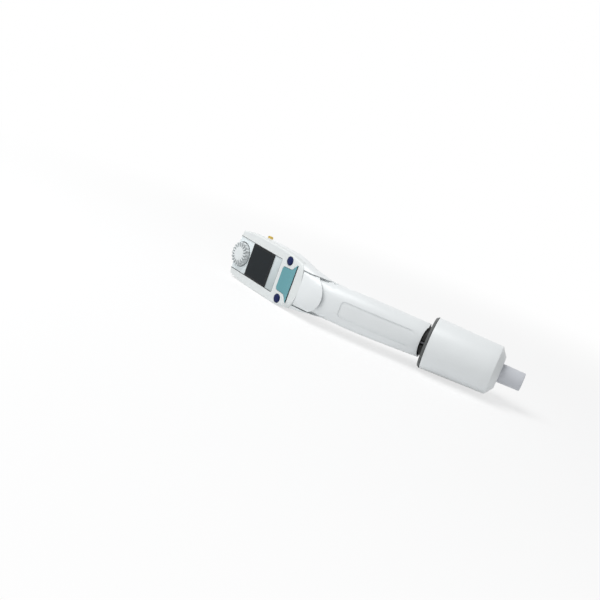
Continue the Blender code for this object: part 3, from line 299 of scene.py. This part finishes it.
def addFloor(spec):
    bpy.ops.mesh.primitive_plane_add(size=spec["floorSize"], location=(0, 0, 0))
    floor = bpy.context.object
    floor.name = "paleFloor"
    material = bpy.data.materials.new("paleFloor")
    material.use_nodes = True
    tree = material.node_tree
    tree.nodes.clear()
    output = tree.nodes.new("ShaderNodeOutputMaterial")
    matte = tree.nodes.new("ShaderNodeBsdfDiffuse")
    matte.inputs["Color"].default_value = (*spec["floorColour"], 1)
    glow = tree.nodes.new("ShaderNodeEmission")
    glow.inputs["Color"].default_value = (1, 1, 1, 1)
    # the glow is for the camera and mirror-like surfaces, and takes over away from the piece
    coords = tree.nodes.new("ShaderNodeTexCoord")
    away = tree.nodes.new("ShaderNodeVectorMath")
    away.operation = "LENGTH"
    fade = tree.nodes.new("ShaderNodeMapRange")
    fade.interpolation_type = "SMOOTHSTEP"
    fade.inputs["From Min"].default_value = spec["fadeStart"]
    fade.inputs["From Max"].default_value = spec["fadeEnd"]
    fade.inputs["To Min"].default_value = spec["floorGlow"]
    fade.inputs["To Max"].default_value = 1.0
    share = tree.nodes.new("ShaderNodeMath")
    share.operation = "MULTIPLY"
    mix = tree.nodes.new("ShaderNodeMixShader")
    tree.links.new(coords.outputs["Object"], away.inputs[0])
    tree.links.new(away.outputs["Value"], fade.inputs["Value"])
    tree.links.new(whiteToCamera(tree), share.inputs[0])
    tree.links.new(fade.outputs["Result"], share.inputs[1])
    tree.links.new(share.outputs[0], mix.inputs["Fac"])
    tree.links.new(matte.outputs[0], mix.inputs[1])
    tree.links.new(glow.outputs[0], mix.inputs[2])
    tree.links.new(mix.outputs[0], output.inputs["Surface"])
    floor.data.materials.append(material)


def addWorld(spec):
    world = bpy.data.worlds.new("paleStudio")
    world.use_nodes = True
    bpy.context.scene.world = world
    tree = world.node_tree
    tree.nodes.clear()
    output = tree.nodes.new("ShaderNodeOutputWorld")
    background = tree.nodes.new("ShaderNodeBackground")
    background.inputs["Color"].default_value = (1, 1, 1, 1)
    strength = tree.nodes.new("ShaderNodeMapRange")
    strength.inputs["To Min"].default_value = spec["worldLight"]
    strength.inputs["To Max"].default_value = 1.0
    tree.links.new(whiteToCamera(tree), strength.inputs["Value"])
    tree.links.new(strength.outputs["Result"], background.inputs["Strength"])
    tree.links.new(background.outputs[0], output.inputs["Surface"])


def addLamp(name, place, size, power):
    bpy.ops.object.light_add(type="AREA", location=place)
    lamp = bpy.context.object
    lamp.name = name
    lamp.data.size = size
    lamp.data.energy = power
    lamp.rotation_euler = Vector(place).to_track_quat("Z", "Y").to_euler()


bpy.context.scene.view_settings.view_transform = "Standard"
addFloor(stageSpec)
addWorld(stageSpec)
addLamp("keyLamp", stageSpec["keyPlace"], stageSpec["keySize"], stageSpec["keyPower"])
addLamp("fillLamp", stageSpec["fillPlace"], stageSpec["fillSize"], stageSpec["fillPower"])
print("stage lit")


# Finishes
finishSpec = {
    "cloudScale": 45,
    "cloudDetail": 3,
    "grainDetail": 2,
    "duller": 1.1,
    "glossier": 0.9,
    "bump": 0.5,
    "coatRoughness": 0.15,
    "toolMarks": (60.0, 2600.0, 2600.0),
    "toolDuller": 1.4,
    "trackScale": 260,
    "trackWidth": 0.03,
}


def findNode(tree, kind):
    return next(node for node in tree.nodes if node.type == kind)


def mouldedFinish(
    name, colour, roughness, grain=900.0, depth=0.00002, tint=0.03, gloss=0.5, coat=0.0
):
    # a moulded plastic: faint cloudy tint, uneven gloss and a fine spark-eroded grain
    material = bpy.data.materials.new(name)
    material.use_nodes = True
    tree = material.node_tree
    shader = tree.nodes["Principled BSDF"]
    coords = tree.nodes.new("ShaderNodeTexCoord")
    cloud = tree.nodes.new("ShaderNodeTexNoise")
    cloud.inputs["Scale"].default_value = finishSpec["cloudScale"]
    cloud.inputs["Detail"].default_value = finishSpec["cloudDetail"]
    fine = tree.nodes.new("ShaderNodeTexNoise")
    fine.inputs["Scale"].default_value = grain
    fine.inputs["Detail"].default_value = finishSpec["grainDetail"]
    tones = tree.nodes.new("ShaderNodeMix")
    tones.data_type = "RGBA"
    tones.inputs["A"].default_value = (*[channel * (1 - tint) for channel in colour], 1)
    tones.inputs["B"].default_value = (*[min(channel * (1 + tint), 1.0) for channel in colour], 1)
    rough = tree.nodes.new("ShaderNodeMapRange")
    rough.inputs["To Min"].default_value = roughness * finishSpec["glossier"]
    rough.inputs["To Max"].default_value = roughness * finishSpec["duller"]
    bump = tree.nodes.new("ShaderNodeBump")
    bump.inputs["Strength"].default_value = finishSpec["bump"]
    bump.inputs["Distance"].default_value = depth
    tree.links.new(coords.outputs["Object"], cloud.inputs["Vector"])
    tree.links.new(coords.outputs["Object"], fine.inputs["Vector"])
    tree.links.new(cloud.outputs["Fac"], tones.inputs["Factor"])
    tree.links.new(cloud.outputs["Fac"], rough.inputs["Value"])
    tree.links.new(fine.outputs["Fac"], bump.inputs["Height"])
    tree.links.new(tones.outputs["Result"], shader.inputs["Base Color"])
    tree.links.new(rough.outputs["Result"], shader.inputs["Roughness"])
    tree.links.new(bump.outputs["Normal"], shader.inputs["Normal"])
    shader.inputs["Specular IOR Level"].default_value = gloss
    shader.inputs["Coat Weight"].default_value = coat
    shader.inputs["Coat Roughness"].default_value = finishSpec["coatRoughness"]
    return material


def machinedFinish(name, colour, roughness):
    # a metal with fine tool marks drawn out along the instrument
    material = mouldedFinish(name, colour, roughness, tint=0.12)
    tree = material.node_tree
    tree.nodes["Principled BSDF"].inputs["Metallic"].default_value = 1.0
    stretch = tree.nodes.new("ShaderNodeMapping")
    stretch.inputs["Scale"].default_value = finishSpec["toolMarks"]
    lines = tree.nodes.new("ShaderNodeTexNoise")
    lines.inputs["Scale"].default_value = 1
    lines.inputs["Detail"].default_value = finishSpec["grainDetail"]
    rough = findNode(tree, "MAP_RANGE")
    rough.inputs["To Max"].default_value = roughness * finishSpec["toolDuller"]
    tree.links.new(findNode(tree, "TEX_COORD").outputs["Object"], stretch.inputs["Vector"])
    tree.links.new(stretch.outputs["Vector"], lines.inputs["Vector"])
    tree.links.new(lines.outputs["Fac"], rough.inputs["Value"])
    tree.links.new(lines.outputs["Fac"], findNode(tree, "BUMP").inputs["Height"])
    return material


def poredFinish(name, colour, roughness, cells=1500.0, depth=0.0002):
    # open cells, as in the filter's foam
    material = mouldedFinish(name, colour, roughness, depth=depth)
    tree = material.node_tree
    pores = tree.nodes.new("ShaderNodeTexVoronoi")
    pores.inputs["Scale"].default_value = cells
    tree.links.new(findNode(tree, "TEX_COORD").outputs["Object"], pores.inputs["Vector"])
    tree.links.new(pores.outputs["Distance"], findNode(tree, "BUMP").inputs["Height"])
    return material


def boardFinish(name, mask, track):
    # green mask with faint tracks under it
    material = mouldedFinish(name, mask, 0.35)
    tree = material.node_tree
    shader = tree.nodes["Principled BSDF"]
    tones = findNode(tree, "MIX")
    tracks = tree.nodes.new("ShaderNodeTexBrick")
    tracks.inputs["Scale"].default_value = finishSpec["trackScale"]
    tracks.inputs["Mortar Size"].default_value = finishSpec["trackWidth"]
    tracks.inputs["Color1"].default_value = (0, 0, 0, 1)
    tracks.inputs["Color2"].default_value = (0, 0, 0, 1)
    tracks.inputs["Mortar"].default_value = (1, 1, 1, 1)
    printed = tree.nodes.new("ShaderNodeMix")
    printed.data_type = "RGBA"
    printed.inputs["B"].default_value = (*track, 1)
    tree.links.new(findNode(tree, "TEX_COORD").outputs["Object"], tracks.inputs["Vector"])
    tree.links.new(tracks.outputs["Color"], printed.inputs["Factor"])
    tree.links.new(tones.outputs["Result"], printed.inputs["A"])
    tree.links.new(printed.outputs["Result"], shader.inputs["Base Color"])
    return material


def measureAlong(tree, direction):
    # how far a point of the piece lies along a direction
    along = tree.nodes.new("ShaderNodeVectorMath")
    along.operation = "DOT_PRODUCT"
    along.inputs[1].default_value = direction
    tree.links.new(findNode(tree, "TEX_COORD").outputs["Object"], along.inputs[0])
    return along.outputs["Value"]


def mixedInto(material, shade):
    # a second colour over the moulded tones, as the given mix has it
    tree = material.node_tree
    shader = tree.nodes["Principled BSDF"]
    tones = next(node for node in tree.nodes if node.type == "MIX" and node != shade)
    tree.links.new(tones.outputs["Result"], shade.inputs["B"])
    tree.links.new(shade.outputs["Result"], shader.inputs["Base Color"])
    return material


lacquerSpec = {
    "grain": 2200.0,
    "depth": 0.00001,
    # heights over the face between which the dial's painted furrow shade changes
    "furrowLow": 0.0012,
    "furrowHigh": 0.0034,
    "edgeTone": (0.7, 0.7, 0.7, 1),
    "crestAt": 0.9,
    "tones": ((0.50, 0.55), (0.62, 0.0), (0.76, 0.25)),
    # direction and middle of the panel's painted light-to-shade sweep on the face, and how far it
    # reaches
    "direction": (0.75, 0.66, 0),
    "middle": (0, 0.066, 0),
    "darkBefore": 0.034,
    "lightAfter": 0.014,
}


def furrowShadeFinish(name, crest, furrow, spec):
    # silver lacquer with painted shade: darker where it lies lower over the face, as the shadow in
    # the dial's furrows
    material = mouldedFinish(name, crest, 0.25, grain=spec["grain"], depth=spec["depth"])
    tree = material.node_tree
    outward = faceMatrix.to_3x3() @ Vector((0, 0, 1))
    level = outward.dot(faceMatrix.translation)
    height = tree.nodes.new("ShaderNodeMapRange")
    height.inputs["From Min"].default_value = level + spec["furrowLow"]
    height.inputs["From Max"].default_value = level + spec["furrowHigh"]
    bands = tree.nodes.new("ShaderNodeValToRGB")
    bands.color_ramp.elements[0].color = spec["edgeTone"]
    bands.color_ramp.elements[1].position = spec["crestAt"]
    for position, tone in spec["tones"]:
        stop = bands.color_ramp.elements.new(position)
        stop.color = (tone, tone, tone, 1)
    shade = tree.nodes.new("ShaderNodeMix")
    shade.data_type = "RGBA"
    shade.inputs["A"].default_value = (*furrow, 1)
    tree.links.new(measureAlong(tree, outward), height.inputs["Value"])
    tree.links.new(height.outputs["Result"], bands.inputs["Fac"])
    tree.links.new(bands.outputs["Color"], shade.inputs["Factor"])
    return mixedInto(material, shade)


def sweptShadeFinish(name, light, dark, spec):
    # lacquer over fine metal flake, with painted light and shade: brighter towards the head and
    # the right edge, darker towards the lower left
    material = mouldedFinish(name, light, 0.28, grain=spec["grain"], depth=spec["depth"])
    tree = material.node_tree
    direction = (faceMatrix.to_3x3() @ Vector(spec["direction"])).normalized()
    middle = direction.dot(faceMatrix @ Vector(spec["middle"]))
    sweep = tree.nodes.new("ShaderNodeMapRange")
    sweep.interpolation_type = "SMOOTHSTEP"
    sweep.inputs["From Min"].default_value = middle - spec["darkBefore"]
    sweep.inputs["From Max"].default_value = middle + spec["lightAfter"]
    blend = tree.nodes.new("ShaderNodeMix")
    blend.data_type = "RGBA"
    blend.inputs["A"].default_value = (*dark, 1)
    tree.links.new(measureAlong(tree, direction), sweep.inputs["Value"])
    tree.links.new(sweep.outputs["Result"], blend.inputs["Factor"])
    return mixedInto(material, blend)


shellWhite = mouldedFinish("shellWhite", (0.82, 0.85, 0.86), 0.34)
bezelWhite = mouldedFinish("bezelWhite", (0.75, 0.78, 0.78), 0.45)
# the silver panel with painted light and shade, in a lit and a shaded tone
silverLacquerShaded = sweptShadeFinish(
    "silverLacquerShaded", (0.84, 0.91, 0.93), (0.46, 0.52, 0.53), lacquerSpec
)
# the dial's silver with painted shade in its furrows
dialSilverAndShade = furrowShadeFinish("dialSilverAndShade", (0.78, 0.82, 0.83), (0.26, 0.29, 0.30), lacquerSpec)
displayGlass = mouldedFinish("displayGlass", (0.015, 0.019, 0.022), 0.14, gloss=0.12)
borderBlack = mouldedFinish("borderBlack", (0.012, 0.013, 0.014), 0.25, gloss=0.25)
# painted shade: a flat black put into gaps and pockets where only shadow falls
paintedShadeBlack = mouldedFinish("paintedShadeBlack", (0.010, 0.010, 0.014), 0.60, gloss=0.2)
navyGloss = mouldedFinish("navyGloss", (0.008, 0.016, 0.085), 0.35, gloss=0.15)
turquoiseSatin = mouldedFinish("turquoiseSatin", (0.125, 0.345, 0.385), 0.35, gloss=0.4)
softBlack = mouldedFinish("softBlack", (0.010, 0.010, 0.010), 0.45, gloss=0.3)
ringGrey = mouldedFinish("ringGrey", (0.10, 0.105, 0.105), 0.45, gloss=0.3)
coneGrey = mouldedFinish("coneGrey", (0.60, 0.62, 0.66), 0.40)
clearResin = mouldedFinish("clearResin", (0.76, 0.71, 0.56), 0.22, coat=0.3)
batteryFilm = mouldedFinish("batteryFilm", (0.10, 0.12, 0.17), 0.30, coat=0.4)
sealRubber = mouldedFinish("sealRubber", (0.03, 0.03, 0.03), 0.70, depth=0.00005, gloss=0.3)
goldPlate = machinedFinish("goldPlate", (0.60, 0.43, 0.10), 0.25)
turnedSteel = machinedFinish("turnedSteel", (0.58, 0.58, 0.59), 0.28)
darkSteel = machinedFinish("darkSteel", (0.10, 0.10, 0.11), 0.35)
turnedBrass = machinedFinish("turnedBrass", (0.72, 0.54, 0.24), 0.30)
filterFoam = poredFinish("filterFoam", (0.90, 0.90, 0.87), 0.90)
boardGreen = boardFinish("boardGreen", (0.03, 0.16, 0.06), (0.06, 0.30, 0.12))
print("finishes ready")


# Moulded shells and small parts whose shape the CAD already has, merged and shaded smooth
for nodeName, material, body, slot in (
    ("main_housing", shellWhite, "base", "white_shell"),
    ("front_bezel", bezelWhite, "base", "bezel_plastic"),
    ("finger_rest", shellWhite, "base", "white_shell"),
    ("battery_cover", shellWhite, "cover", "white_shell"),
    ("sleeve_ring", ringGrey, "ejector", "grey_ring"),
    ("coupling_collar", softBlack, "base", "black_plastic"),
    ("display_panel", silverLacquerShaded, "base", "silver_panel"),
    ("rocker", turquoiseSatin, "rocker", "turquoise_rocker"),
    ("ejector_spring", turnedSteel, "base", "steel"),
):
    finishPiece(refinedCopy(nodeName, "fine_" + nodeName), body, slot, material, nodeName)
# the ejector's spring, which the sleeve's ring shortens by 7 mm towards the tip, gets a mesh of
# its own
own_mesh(bpy.data.objects["fine_ejector_spring"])
print("shells refined")


# Ejector button: its rim is drawn closer to the bezel and to the pocket's sides
buttonSpec = {
    "bezelLow": 0.0022,
    "bezelReach": 0.0232,
    "bezelRise": 0.0150,
    "bezelSquareness": 2.2,
    "rimWidth": 0.0012,
    "rimDepth": 0.0020,
    "closer": 0.0003,
    "sideFrom": 0.0162,
    "sideGrow": 1.016,
}


def makeButton(spec):
    button = refinedCopy("ejector_button", "fineButton")
    toFace = faceMatrix.inverted()

    def onRim(vertex):
        across, up, out = toFace @ vertex.co
        share = min(abs(across) / spec["bezelReach"], 1)
        drop = (1 - share ** spec["bezelSquareness"]) ** (1 / spec["bezelSquareness"])
        edge = spec["bezelLow"] + spec["bezelRise"] * (1 - drop)
        return up > edge - spec["rimWidth"] and abs(out) < spec["rimDepth"]

    selectOnly(button, onRim)
    activate(button)
    bpy.ops.object.mode_set(mode="EDIT")
    bpy.ops.transform.translate(value=(-spec["closer"], 0, 0))
    bpy.ops.object.mode_set(mode="OBJECT")
    selectOnly(button, lambda vertex: abs(vertex.co.z - axisZ) > spec["sideFrom"])
    bpy.ops.object.mode_set(mode="EDIT")
    bpy.ops.transform.resize(value=(1, 1, spec["sideGrow"]), center_override=(0, 0, axisZ))
    bpy.ops.object.mode_set(mode="OBJECT")
    finishPiece(button, "ejector", "white_shell", shellWhite, "ejector_button")


makeButton(buttonSpec)


# A ledge in each side channel of the pocket, just under the body's own corner
ledgeSpec = {
    "sides": 96,
    # the body's rounded front corner: centre across and back, its two radii and its height
    "corner": [
        (0.0031, -0.0046, 0.0130, 0.0120, 0.1660),
        (0.0034, -0.0037, 0.0130, 0.0116, 0.1740),
        (0.0045, -0.0038, 0.0124, 0.0096, 0.1805),
        (0.0059, -0.0028, 0.0120, 0.0098, 0.1862),
        (0.0080, -0.0034, 0.0110, 0.0082, 0.1925),
    ],
    "block": ((0.01380, -0.0120, 0.1690), (0.01720, -0.0037, 0.1796)),
    "sunk": (-0.0010, 0.0009, 0),
}


def bodyCorner(spec):
    # the rounded front corner of the body as one drawn-out ellipse
    deselectAll()
    bpy.ops.mesh.primitive_circle_add(vertices=spec["sides"], radius=1, location=(0, 0, 0))
    column = bpy.context.object
    column.name = "bodyCorner"
    beginEdit(column)
    last = (0, 0, 1, 1, 0)
    for index, (across, back, wide, deep, height) in enumerate(spec["corner"]):
        if index:
            bpy.ops.mesh.extrude_edges_move(TRANSFORM_OT_translate={"value": (0, 0, 0)})
        grow = (wide / last[2], deep / last[3], 1)
        bpy.ops.transform.resize(value=grow, center_override=last[:2] + (last[4],))
        move = (across - last[0], back - last[1], height - last[4])
        bpy.ops.transform.translate(value=move)
        last = (across, back, wide, deep, height)
    bpy.ops.mesh.select_all(action="SELECT")
    bpy.ops.mesh.fill_holes(sides=0)
    endEdit()
    return column


def makeLedges(spec):
    column = bodyCorner(spec)
    column.location = spec["sunk"]
    right = blockPiece("ledgeRight", *spec["block"])
    combine(right, "INTERSECT", column)
    shadeSmooth()
    left = twinOf(right, "ledgeLeft")
    mirrorAcross(left)
    for piece in (right, left):
        placeBy(piece, bodyMatrix)
        finishPiece(piece, "base", "white_shell", shellWhite)
    bpy.data.objects.remove(column)


makeLedges(ledgeSpec)
print("button made")


# Ejector sleeve: a smooth taper with a softly rounded shoulder
sleeveSpec = {
    "sides": 160,
    "soft": 0.0005,
    "rings": [
        (0.02289, 0.0815), (0.02140, 0.0300), (0.02117, 0.0246), (0.01380, 0.0194),
        (0.00850, 0.0194), (0.00850, 0.0214), (0.01300, 0.0214), (0.01920, 0.0252),
        (0.02089, 0.0815),
    ],
}


def makeSleeve(spec):
    sleeve = turnedPiece("sleeveShell", spec["rings"], spec["sides"], True, spec["soft"])
    shadeSmooth()
    placeBy(sleeve, bodyMatrix)
    finishPiece(sleeve, "ejector", "white_shell", shellWhite, "ejector_sleeve")


# Tip cone: the neck that takes a pipette tip, with its shoulder inside the sleeve
coneSpec = {
    "sides": 96,
    "soft": 0.00025,
    "rings": [
        (0.01660, 0.0308), (0.01660, 0.0272), (0.00930, 0.0272), (0.00810, 0.0260),
        (0.00810, 0.0194), (0.00775, 0.0005), (0.00740, 0.0), (0.00560, 0.0), (0.00560, 0.0308),
    ],
}


def makeCone(spec):
    cone = turnedPiece("tipCone", spec["rings"], spec["sides"], True, spec["soft"])
    shadeSmooth()
    placeBy(cone, bodyMatrix)
    finishPiece(cone, "base", "cone_plastic", coneGrey, "tip_cone")


makeSleeve(sleeveSpec)
makeCone(coneSpec)
print("sleeve and cone turned")


# Selection dial: eighteen petals round a smooth middle
dialSpec = {
    "petals": 18,
    "stepsPerPetal": 8,
    "centre": (0, 0.0890, 0),
    "furrow": 0.0007,
    "notch": 0.04,
    "rings": [
        (0.0106, -0.0012), (0.0113, -0.0007), (0.0113, 0.0016), (0.0110, 0.0024), (0.0103, 0.0029),
        (0.0090, 0.0032), (0.0072, 0.0033), (0.0056, 0.0033), (0.0030, 0.0034), (0.0012, 0.0034),
    ],
    "furrowFrom": 0.0070,
    "furrowAbove": -0.0009,
    "smoothAngle": 50,
}


def makeDial(spec):
    sides = spec["petals"] * spec["stepsPerPetal"]
    knob = turnedPiece("dialKnob", spec["rings"], sides)

    def inFurrow(vertex, step):
        around = math.atan2(vertex.co.y, vertex.co.x) / (2 * math.pi) * sides
        inStep = round(around) % spec["stepsPerPetal"] == step
        outer = vertex.co.xy.length > spec["furrowFrom"]
        return inStep and outer and vertex.co.z > spec["furrowAbove"]

    # each petal's valley is pushed in and down, its flanks by less
    for step in range(1, spec["stepsPerPetal"]):
        share = (1 - math.cos(2 * math.pi * step / spec["stepsPerPetal"])) / 2
        bpy.ops.object.mode_set(mode="OBJECT")
        selectOnly(knob, lambda vertex: inFurrow(vertex, step))
        bpy.ops.object.mode_set(mode="EDIT")
        shrink = 1 - spec["notch"] * share
        bpy.ops.transform.resize(value=(shrink, shrink, 1), center_override=(0, 0, 0))
        bpy.ops.transform.translate(value=(0, 0, -spec["furrow"] * share))
    endEdit()
    shadeSmooth(spec["smoothAngle"])
    placeBy(knob, faceMatrix @ Matrix.Translation(spec["centre"]))
    finishPiece(knob, "dial", "silver_panel", dialSilverAndShade, "selection_dial")


# Painted shade: a dark floor ring under the dial for the shadow in its pocket, cut off where the
# head ends
pocketSpec = {
    "sides": 72,
    "rings": [(0.0118, -0.0017), (0.0118, -0.0015), (0.0100, -0.0015), (0.0100, -0.0017)],
    "clipped": 0.0078,
}


def makePocketShade(spec):
    ring = turnedPiece("dialPocketShade", spec["rings"], spec["sides"], True)
    beginEdit(ring)
    bpy.ops.mesh.bisect(
        plane_co=(0, spec["clipped"], 0), plane_no=(0, 1, 0), clear_outer=True, use_fill=True
    )
    endEdit()
    shadeSmooth()
    placeBy(ring, faceMatrix @ Matrix.Translation(dialSpec["centre"]))
    finishPiece(ring, "base", "black_plastic", paintedShadeBlack)


makeDial(dialSpec)
makePocketShade(pocketSpec)
print("dial made")


# Display window with its black border
windowSpec = {
    "low": (-0.0155, 0.0444, -0.0003),
    "high": (0.0155, 0.0757, 0.0002),
    "border": 0.0011,
    "soft": 0.00012,
}


def makeWindow(spec):
    pane = blockPiece("displayPane", spec["low"], spec["high"])
    softenEdges(pane, spec["soft"], 2)
    pane.data.materials.append(displayGlass)
    pane.data.materials.append(borderBlack)
    beginEdit(pane)
    bpy.ops.mesh.select_mode(type="FACE")
    selectFacesFacing(pane, (0, 0, 1), 0.99)
    bpy.ops.mesh.inset(thickness=spec["border"], depth=0)
    bpy.ops.mesh.select_all(action="INVERT")
    pane.active_material_index = 1
    bpy.ops.object.material_slot_assign()
    endEdit()
    shadeSmooth()
    placeBy(pane, faceMatrix)
    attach(pane, "base")
    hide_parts("display_window")


makeWindow(windowSpec)


# Painted shade: a dark joint round the silver panel, on the floor of its recess, for the shadow in
# the gap
jointSpec = {
    "half": 0.0161,
    "width": 0.00032,
    "low": 0.0339,
    "high": 0.0968,
    "floor": -0.0017,
    "top": -0.0001,
}


def makePanelJointShade(spec):
    bars = []
    for name, low, high in (
        ("panelJointShade", (-spec["half"], spec["low"]), (spec["half"], spec["low"] + spec["width"])),
        ("jointShadeRight", (spec["half"] - spec["width"], spec["low"]), (spec["half"], spec["high"])),
        ("jointShadeLeft", (-spec["half"], spec["low"]), (spec["width"] - spec["half"], spec["high"])),
    ):
        bars.append(blockPiece(name, (*low, spec["floor"]), (*high, spec["top"])))
    joint = bars[0]
    for bar in bars[1:]:
        combine(joint, "UNION", bar)
        bpy.data.objects.remove(bar)
    placeBy(joint, faceMatrix)
    finishPiece(joint, "base", "black_plastic", paintedShadeBlack)


makePanelJointShade(jointSpec)


# Painted shade: a dark edge strip along the rocker's lower side, for the shadow in its gap to the
# bezel
stripSpec = {
    "low": (-0.0166, 0.01216, -0.0011),
    "high": (0.0166, 0.01265, 0.00050),
    "soft": 0.00008,
}


def makeRockerShadeStrip(spec):
    strip = blockPiece("rockerShadeStrip", spec["low"], spec["high"])
    softenEdges(strip, spec["soft"], 2)
    placeBy(strip, faceMatrix)
    finishPiece(strip, "rocker", "black_plastic", paintedShadeBlack)


makeRockerShadeStrip(stripSpec)


# Two navy keys, modelled once
keySpec = {
    "sides": 64,
    "soft": 0.0001,
    "offset": 0.0178,
    "up": 0.0241,
    "rings": [
        (0.0039, -0.0042), (0.0039, -0.0003), (0.0037, 0.0004), (0.0031, 0.0008),
        (0.0020, 0.00095), (0.0006, 0.0010),
    ],
    "smoothAngle": 40,
}


def makeKeys(spec):
    key = turnedPiece("keyRight", spec["rings"], spec["sides"], False, spec["soft"])
    shadeSmooth(spec["smoothAngle"])
    twin = twinOf(key, "keyLeft")
    for piece, side, node in ((key, 1, "key_right"), (twin, -1, "key_left")):
        placeBy(piece, faceMatrix @ Matrix.Translation((side * spec["offset"], spec["up"], 0)))
        finishPiece(piece, node, "navy_key", navyGloss, node)


makeKeys(keySpec)
print("window and keys made")


# Sprung charging contacts with a rounded head; the left one is pressed in by the bench
contactSpec = {
    "low": (0.0200, 0.0706, -0.0150),
    "high": (0.0256, 0.0746, -0.0116),
    "pressed": -0.0019,
    "inset": 0.0006,
    "head": 0.0004,
    "soft": 0.0003,
}


def makeContacts(spec):
    reach, *rest = spec["high"]
    body = blockPiece("contactRight", spec["low"], (reach - spec["head"], *rest))
    beginEdit(body)
    bpy.ops.mesh.select_mode(type="FACE")
    selectFacesFacing(body, (1, 0, 0))
    bpy.ops.mesh.inset(thickness=spec["inset"], depth=0)
    bpy.ops.mesh.extrude_region_move(TRANSFORM_OT_translate={"value": (spec["head"], 0, 0)})
    endEdit()
    softenEdges(body, spec["soft"])
    shadeSmooth()
    twin = twinOf(body, "contactLeft")
    beginEdit(twin)
    bpy.ops.transform.translate(value=(spec["pressed"], 0, 0))
    endEdit()
    mirrorAcross(twin)
    for piece, node in ((body, "charging_contact_right"), (twin, "charging_contact_left")):
        placeBy(piece, faceMatrix)
        finishPiece(piece, "base", "gold_contact", goldPlate, node)


makeContacts(contactSpec)
print("contacts made")


# The inside keeps its CAD shapes and takes its own finishes
insideFinishes = {
    "display_module": softBlack,
    "main_board": boardGreen,
    "board_screw_1": turnedSteel,
    "board_screw_2": turnedSteel,
    "board_screw_3": turnedSteel,
    "board_screw_4": turnedSteel,
    "dial_encoder": softBlack,
    "key_switch_left": turnedSteel,
    "key_switch_right": turnedSteel,
    "rocker_pin": turnedSteel,
    "battery": batteryFilm,
    "drive_frame": softBlack,
    "gearbox": turnedBrass,
    "drive_motor": turnedSteel,
    "cylinder_head": softBlack,
    "cylinder": clearResin,
    "cone_filter": filterFoam,
    "dial_shaft": turnedSteel,
    "ejector_rod": darkSteel,
    "piston": coneGrey,
    "piston_seal": sealRubber,
    "piston_rod": turnedSteel,
    "spindle_nut": turnedBrass,
    "lead_screw": turnedSteel,
}
for nodeName, material in insideFinishes.items():
    nodes[nodeName].data.materials.clear()
    nodes[nodeName].data.materials.append(material)
print("inside finished")
